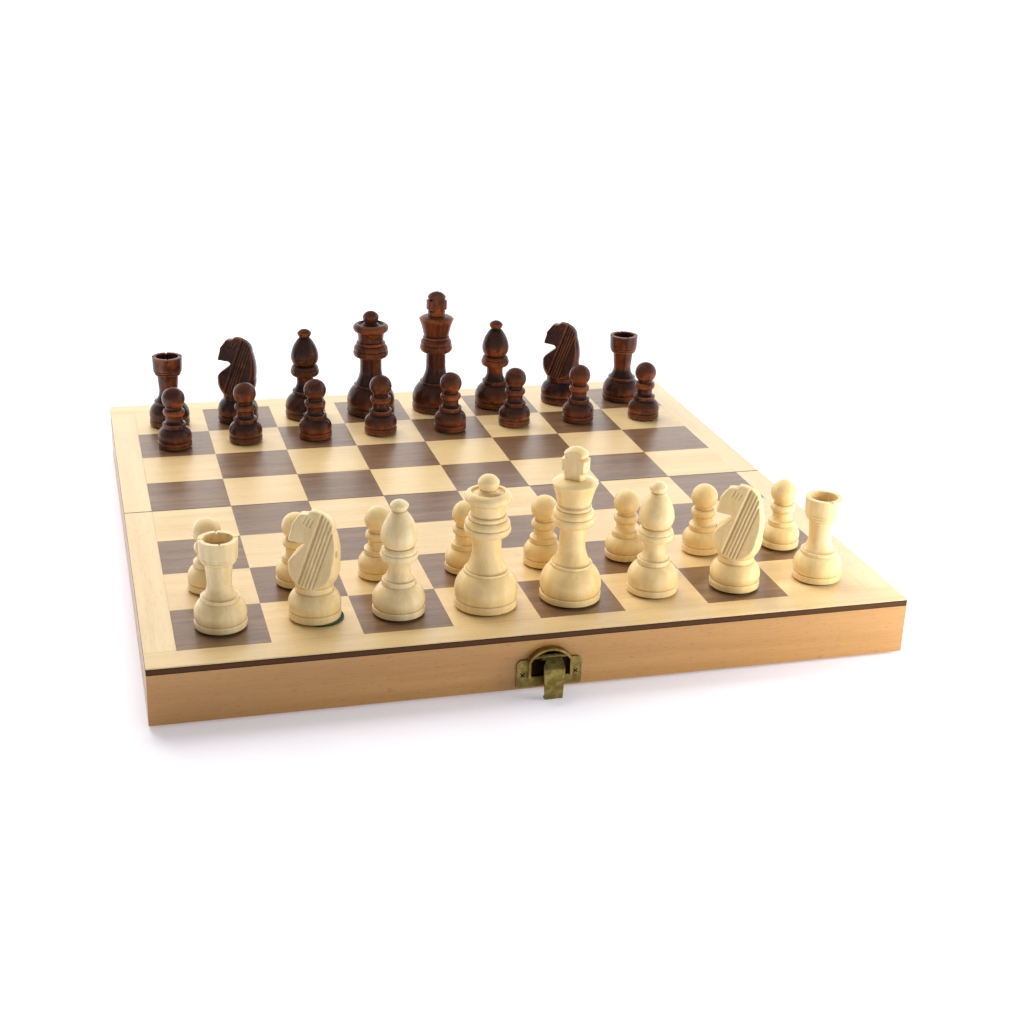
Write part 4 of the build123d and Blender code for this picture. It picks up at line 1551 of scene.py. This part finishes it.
@dataclass
class Hardware:
    """The catch, the keeper and the hinges, with a sheet of painted shadow in the catch's window.

    Attributes:
        finishes: The materials by name.
        edge: How far their edges are rounded, in millimetres.
        small: The share of that on the screws and pins.
        least: The smallest angle that is rounded, in degrees.
        rubbed: How worn a rounded edge is.
        sunk: How deep a face of a screw's head lies in its cross, in millimetres.
        upright: What a screw's face must face outwards by, not to be a wall.
        root: How far out the hook's arm starts to fall, in millimetres.
        run: Over what run it does, in millimetres.
        shin: The height above which the hook's parts belong to its arm, in millimetres.
        fall: How far the knee falls, in millimetres.
        arch: The catch plate's window.
    """

    finishes: dict[str, Material]
    edge: float = 0.16
    small: float = 0.5
    least: float = 32.0
    rubbed: float = 0.5
    sunk: float = 0.08
    upright: float = 0.9
    root: float = 147.5
    run: float = 5.5
    shin: float = 8.0
    fall: float = 2.1
    arch: Arch = Arch()

    def build(self) -> None:
        """Dress every metal part."""
        for body, nodes in frame["record"]["behaviour"]["bodies"].items():
            for node in nodes:
                if node.startswith(("catch_", "keeper_", "hinge_")):
                    self.round(node, body)
        # A dark sheet of painted shadow fills the catch's window.
        self.hollow()

    def finish(self, bm: BMesh, name: str, body: str, replaces: Sequence[str] = ()) -> None:
        """Hang a finished part on its body."""
        brass = "antique_brass"
        Shop.finish(bm, name, body, self.finishes[brass], brass, replaces)

    def hollow(self) -> None:
        """Close the catch plate's arched window with a dark sheet of painted shadow."""
        arch = self.arch
        crown_r = (arch.half ** 2 + arch.rise ** 2) / (2 * arch.rise) - arch.rim
        half, middle = arch.half - arch.rim, arch.shoulder + arch.rise - crown_r - arch.rim
        span = math.asin(half / crown_r)
        outline = [(-half, arch.sill), (half, arch.sill)]
        for i in range(arch.pieces + 1):
            turn = span * (1 - 2 * i / arch.pieces)
            outline.append((crown_r * math.sin(turn), middle + crown_r * math.cos(turn)))
        bm = bmesh.new()
        bm.faces.new([bm.verts.new((x * MM, arch.face * MM, (arch.lift + z) * MM))
                      for x, z in outline])
        Shop.thicken(bm, (0, -arch.thick, 0))
        # Painted shadow: every face is marked fully sunk, so the brass paints it its darkest colour.
        wear_and_shade = bm.faces.layers.float.new("wear_and_shade")
        for face in bm.faces:
            face[wear_and_shade] = -1.0
        self.finish(bm, "catch_shadow_sheet", "front_tray")

    def round(self, node: str, body: str) -> None:
        """Stand a copy with rounded, rubbed edges in for a CAD node.

        Args:
            node: The node.
            body: Its body.
        """
        bm = Shop.copy(node, flat=True)
        if node == "catch_hook":
            self.droop(bm)
        wear_and_shade = bm.faces.layers.float.new("wear_and_shade")
        width = self.edge * (self.small if "screws" in node or "pin" in node else 1.0)
        for face in Shop.soften(bm, width, self.least):
            face[wear_and_shade] = self.rubbed
        if node in ("catch_screws", "keeper_screws"):
            self.blacken(bm, wear_and_shade)
        self.finish(bm, node + "_rounded", body, [node])

    def droop(self, bm: BMesh) -> None:
        """Let the hook's arm fall towards its knee.

        Args:
            bm: The hook.
        """
        for v in bm.verts:
            out = min(1.0, max(0.0, (-v.co.y / MM - self.root) / self.run))
            high = min(1.0, max(0.0, v.co.z / MM - self.shin))
            v.co.z -= self.fall * out * high * MM

    def blacken(self, bm: BMesh, wear_and_shade: bmesh.types.BMLayerItem) -> None:
        """Darken the crosses of the screws and the walls around their heads.

        Args:
            bm: The screws, their heads facing out of the front or the rear.
            wear_and_shade: The layer that holds the wear.
        """
        front = max(abs(v.co.y - BALANCE * MM) for v in bm.verts)
        for face in bm.faces:
            depth = front - abs(face.calc_center_median().y - BALANCE * MM)
            if depth > self.sunk * MM or abs(face.normal.y) < self.upright:
                face[wear_and_shade] = -1.0


@dataclass(frozen=True)
class View:
    """The camera at the photograph's place, in millimetres, degrees and pixels.

    Attributes:
        place: Where it stands.
        yaw: How far it looks to the right of y.
        pitch: How far up.
        roll: How far it is tilted.
        focal: Its focal length, in pixels.
        side: The picture's side, in pixels.
        sensor: The sensor's side.
        clip: The nearest and the farthest that it sees, in metres.
    """

    place: tuple[float, float, float] = (-162.42, -655.55, 285.57)
    yaw: float = 15.959
    pitch: float = -21.835
    roll: float = 1.957
    focal: float = 1625.9
    side: float = 1024.0
    sensor: float = 36.0
    clip: tuple[float, float] = (0.01, 20.0)

    def build(self) -> None:
        """Make the camera."""
        data = bpy.data.cameras.new("camera")
        data.sensor_width = self.sensor
        data.lens = self.focal / self.side * self.sensor
        data.clip_start, data.clip_end = self.clip
        camera = stand("camera", data)
        pose = Matrix.Translation(Vector(self.place) * MM)
        for angle, axis in ((-self.yaw, "Z"), (90.0 + self.pitch, "X"), (self.roll, "Z")):
            pose = pose @ Matrix.Rotation(math.radians(angle), 4, axis)
        camera.matrix_world = pose
        bpy.context.scene.camera = camera


@dataclass(frozen=True)
class Lamp:
    """A square lamp that shows neither to the camera nor in glossy surfaces.

    Attributes:
        name: Its name.
        place: Where it hangs, in metres.
        aim: The point that it faces.
        size: Its side.
        power: Its power in watts.
    """

    name: str
    place: tuple[float, float, float]
    aim: tuple[float, float, float]
    size: float
    power: float

    def hang(self) -> None:
        """Put it in its place."""
        data = bpy.data.lights.new(self.name, "AREA")
        data.size, data.energy = self.size, self.power
        lamp = stand(self.name, data)
        lamp.location = self.place
        lamp.visible_camera = lamp.visible_glossy = False
        towards = Vector(self.aim) - Vector(self.place)
        lamp.rotation_euler = towards.to_track_quat("-Z", "Y").to_euler()


@dataclass(frozen=True)
class Studio:
    """A pale floor that fades to white, a white backdrop under a darker ceiling, and soft lamps.

    Attributes:
        reach: Half the floor's side, in metres.
        tone: The floor's colour.
        shine: The colour of its glow.
        glow: How the glow grows with the distance from the middle.
        lift: How much more of it the camera sees.
        wrap: How far the backdrop reaches round to the right.
        walls: How the light grows from the front to the backdrop.
        ceiling: How bright the ceiling is.
        ceiling_rise: Where the walls end and the ceiling begins, as the height of the direction.
        lamps: The lamps.
    """

    reach: float = 1.6
    tone: Rgba = (0.84, 0.82, 0.86, 1.0)
    shine: Rgba = (0.95, 0.93, 1.0, 1.0)
    glow: Band = Band(0.23, 0.6, 0.18, 0.8)
    lift: float = 0.11
    wrap: float = 0.5
    walls: Band = Band(-0.5, 0.6, 0.37, 1.25)
    ceiling: float = 0.22
    ceiling_rise: tuple[float, float] = (0.35, 0.75)
    lamps: tuple[Lamp, ...] = (Lamp("behind", (-0.14, 0.5, 0.85), (0.0, 0.0, 0.0), 0.8, 11.5),
                               Lamp("right", (0.28, -0.24, 0.08), (0.12, -0.14, 0.01), 0.13, 0.68))

    def build(self) -> None:
        """Set the floor, the surround and the lamps."""
        self.floor()
        self.surround()
        bpy.context.scene.view_settings.view_transform = "Standard"
        for lamp in self.lamps:
            lamp.hang()

    def floor(self) -> None:
        """Lay the floor; it glows towards its rim, so that it ends in white."""
        bm = bmesh.new()
        bmesh.ops.create_grid(bm, x_segments=8, y_segments=8, size=self.reach)
        mesh = as_mesh(bm, "floor")
        w = Canvas("pale floor")
        away = w.add("ShaderNodeVectorMath", operation="LENGTH")
        w.feed(away, 0, w.place)
        seen = w.maths("MULTIPLY", w.add("ShaderNodeLightPath").outputs["Is Camera Ray"], self.lift)
        glow = w.maths("ADD", w.spread(away.outputs["Value"], *self.glow), seen)
        w.fill(w.shader, Base_Color=self.tone, Roughness=0.6, Emission_Color=self.shine,
               Emission_Strength=glow)
        mesh.materials.append(w.material)
        floor = stand("floor", mesh)

    def surround(self) -> None:
        """Light the scene from a white backdrop, less from the front and the ceiling."""
        world = bpy.data.worlds.new("surround")
        world.use_nodes = True
        w = Wiring(world.node_tree)
        x, y, z = w.parts(w.add("ShaderNodeTexCoord").outputs["Generated"])
        behind = w.maths("ADD", w.maths("MULTIPLY", x, self.wrap), y)
        walls = w.spread(behind, *self.walls)
        light = w.spread(z, *self.ceiling_rise, walls, self.ceiling)
        seen = w.add("ShaderNodeLightPath").outputs["Is Camera Ray"]
        shown = w.maths("MULTIPLY", seen, w.maths("SUBTRACT", self.walls.out_high, light))
        w.fill(world.node_tree.nodes["Background"], Color=(1.0, 1.0, 1.0, 1.0),
               Strength=w.maths("ADD", light, shown))
        bpy.context.scene.world = world


def finishes(patterns: Patterns) -> dict[str, Material]:
    """Mix every finish.

    Args:
        patterns: The shared node groups.

    Returns:
        The materials by name.
    """
    beech = dict(pale=srgb(236, 208, 154), deep=srgb(226, 193, 134), fleck=srgb(204, 164, 106),
                 fleck_share=0.3, fleck_cover=0.3, fibre_share=0.05, streak_scale=150.0,
                 rough=0.36, coat=0.8, coat_rough=0.28)
    walnut = dict(pale=srgb(140, 106, 76), deep=srgb(108, 78, 53), fleck=srgb(78, 52, 34),
                  fleck_share=0.45, fleck_cover=0.42, fibre_share=0.16, streak_scale=260.0,
                  rough=0.36, coat=0.8, coat_rough=0.28)
    rail = dict(pale=srgb(200, 150, 84), deep=srgb(184, 134, 70), fleck=srgb(140, 98, 50),
                fleck_share=0.45, fleck_cover=0.27, fleck_scale=2100.0, fibre_share=0.06,
                streak_scale=90.0, tone_share=0.2, tone_colour=srgb(176, 126, 68), rough=0.36,
                coat=0.5, coat_rough=0.3)
    mixes = {
        "beech_squares": Lumber("beech squares", squares=True, tone_share=0.25,
                                tone_colour=srgb(226, 190, 146), joints=0.35, seam_shade=0.8, **beech),
        "beech_strip_x": Lumber("beech border", tone_share=0.25, tone_colour=srgb(226, 194, 150),
                                **beech),
        "beech_strip_y": Lumber("beech side border", grain=Grain.ALONG_Y, tone_share=0.35,
                                tone_colour=srgb(242, 220, 192), seam_shade=0.8, **beech),
        "walnut_squares": Lumber("walnut squares", squares=True, tone_share=0.35,
                                 tone_colour=srgb(118, 84, 58), joints=0.35, seam_shade=0.8, **walnut),
        "rail_x": Lumber("beech rail", **rail),
        "rail_y": Lumber("beech side rail", grain=Grain.ALONG_Y, **rail),
        "panel": Board("fibre panel", rough=0.7, specular=0.15, body=srgb(74, 49, 32),
                       skin=srgb(36, 22, 13), fibre=srgb(104, 74, 52)),
        "green_felt": Felt("green felt", rough=0.95, specular=0.15, bump=0.00015,
                           pile=srgb(26, 84, 34), shade=srgb(10, 48, 18)),
        "antique_brass": Brass("antique brass", rough=0.36, body=srgb(164, 148, 84),
                               dull=srgb(122, 104, 54), darkening=srgb(44, 28, 18),
                               bright=srgb(236, 226, 176)),
        "boxwood": TurnedWood("boxwood", rough=0.32, coat=0.5, coat_rough=0.15,
                              pale=srgb(250, 231, 182), deep=srgb(232, 204, 148), patchy=0.35,
                              hollow=srgb(178, 140, 82), hollow_shade_share=0.65,
                              rubbed=srgb(246, 233, 194), rubbed_share=0.3,
                              warm=srgb(248, 206, 120), warm_share=0.5),
        "stained_wood": TurnedWood("stained wood", rough=0.3, coat=0.2, coat_rough=0.14,
                                   specular=0.3, pale=srgb(172, 88, 42), deep=srgb(54, 25, 18),
                                   patchy=0.8, hollow=srgb(16, 8, 8), hollow_shade_share=0.95,
                                   rubbed=srgb(170, 92, 46), rubbed_share=0.6,
                                   upper=srgb(14, 8, 8), upper_share=0.97,
                                   warm=srgb(110, 46, 24), warm_share=0.5),
    }
    return {name: mix.build(patterns) for name, mix in mixes.items()}


def main() -> None:
    """Build the scene around the frame, in order."""
    logging.basicConfig(level=logging.INFO, format="%(name)s %(message)s")
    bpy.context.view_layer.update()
    View().build()
    Studio().build()
    dressed = finishes(Patterns())
    Joinery(dressed).build()
    Hardware(dressed).build()
    Chessmen(dressed).build()


if __name__ == "__main__":
    main()
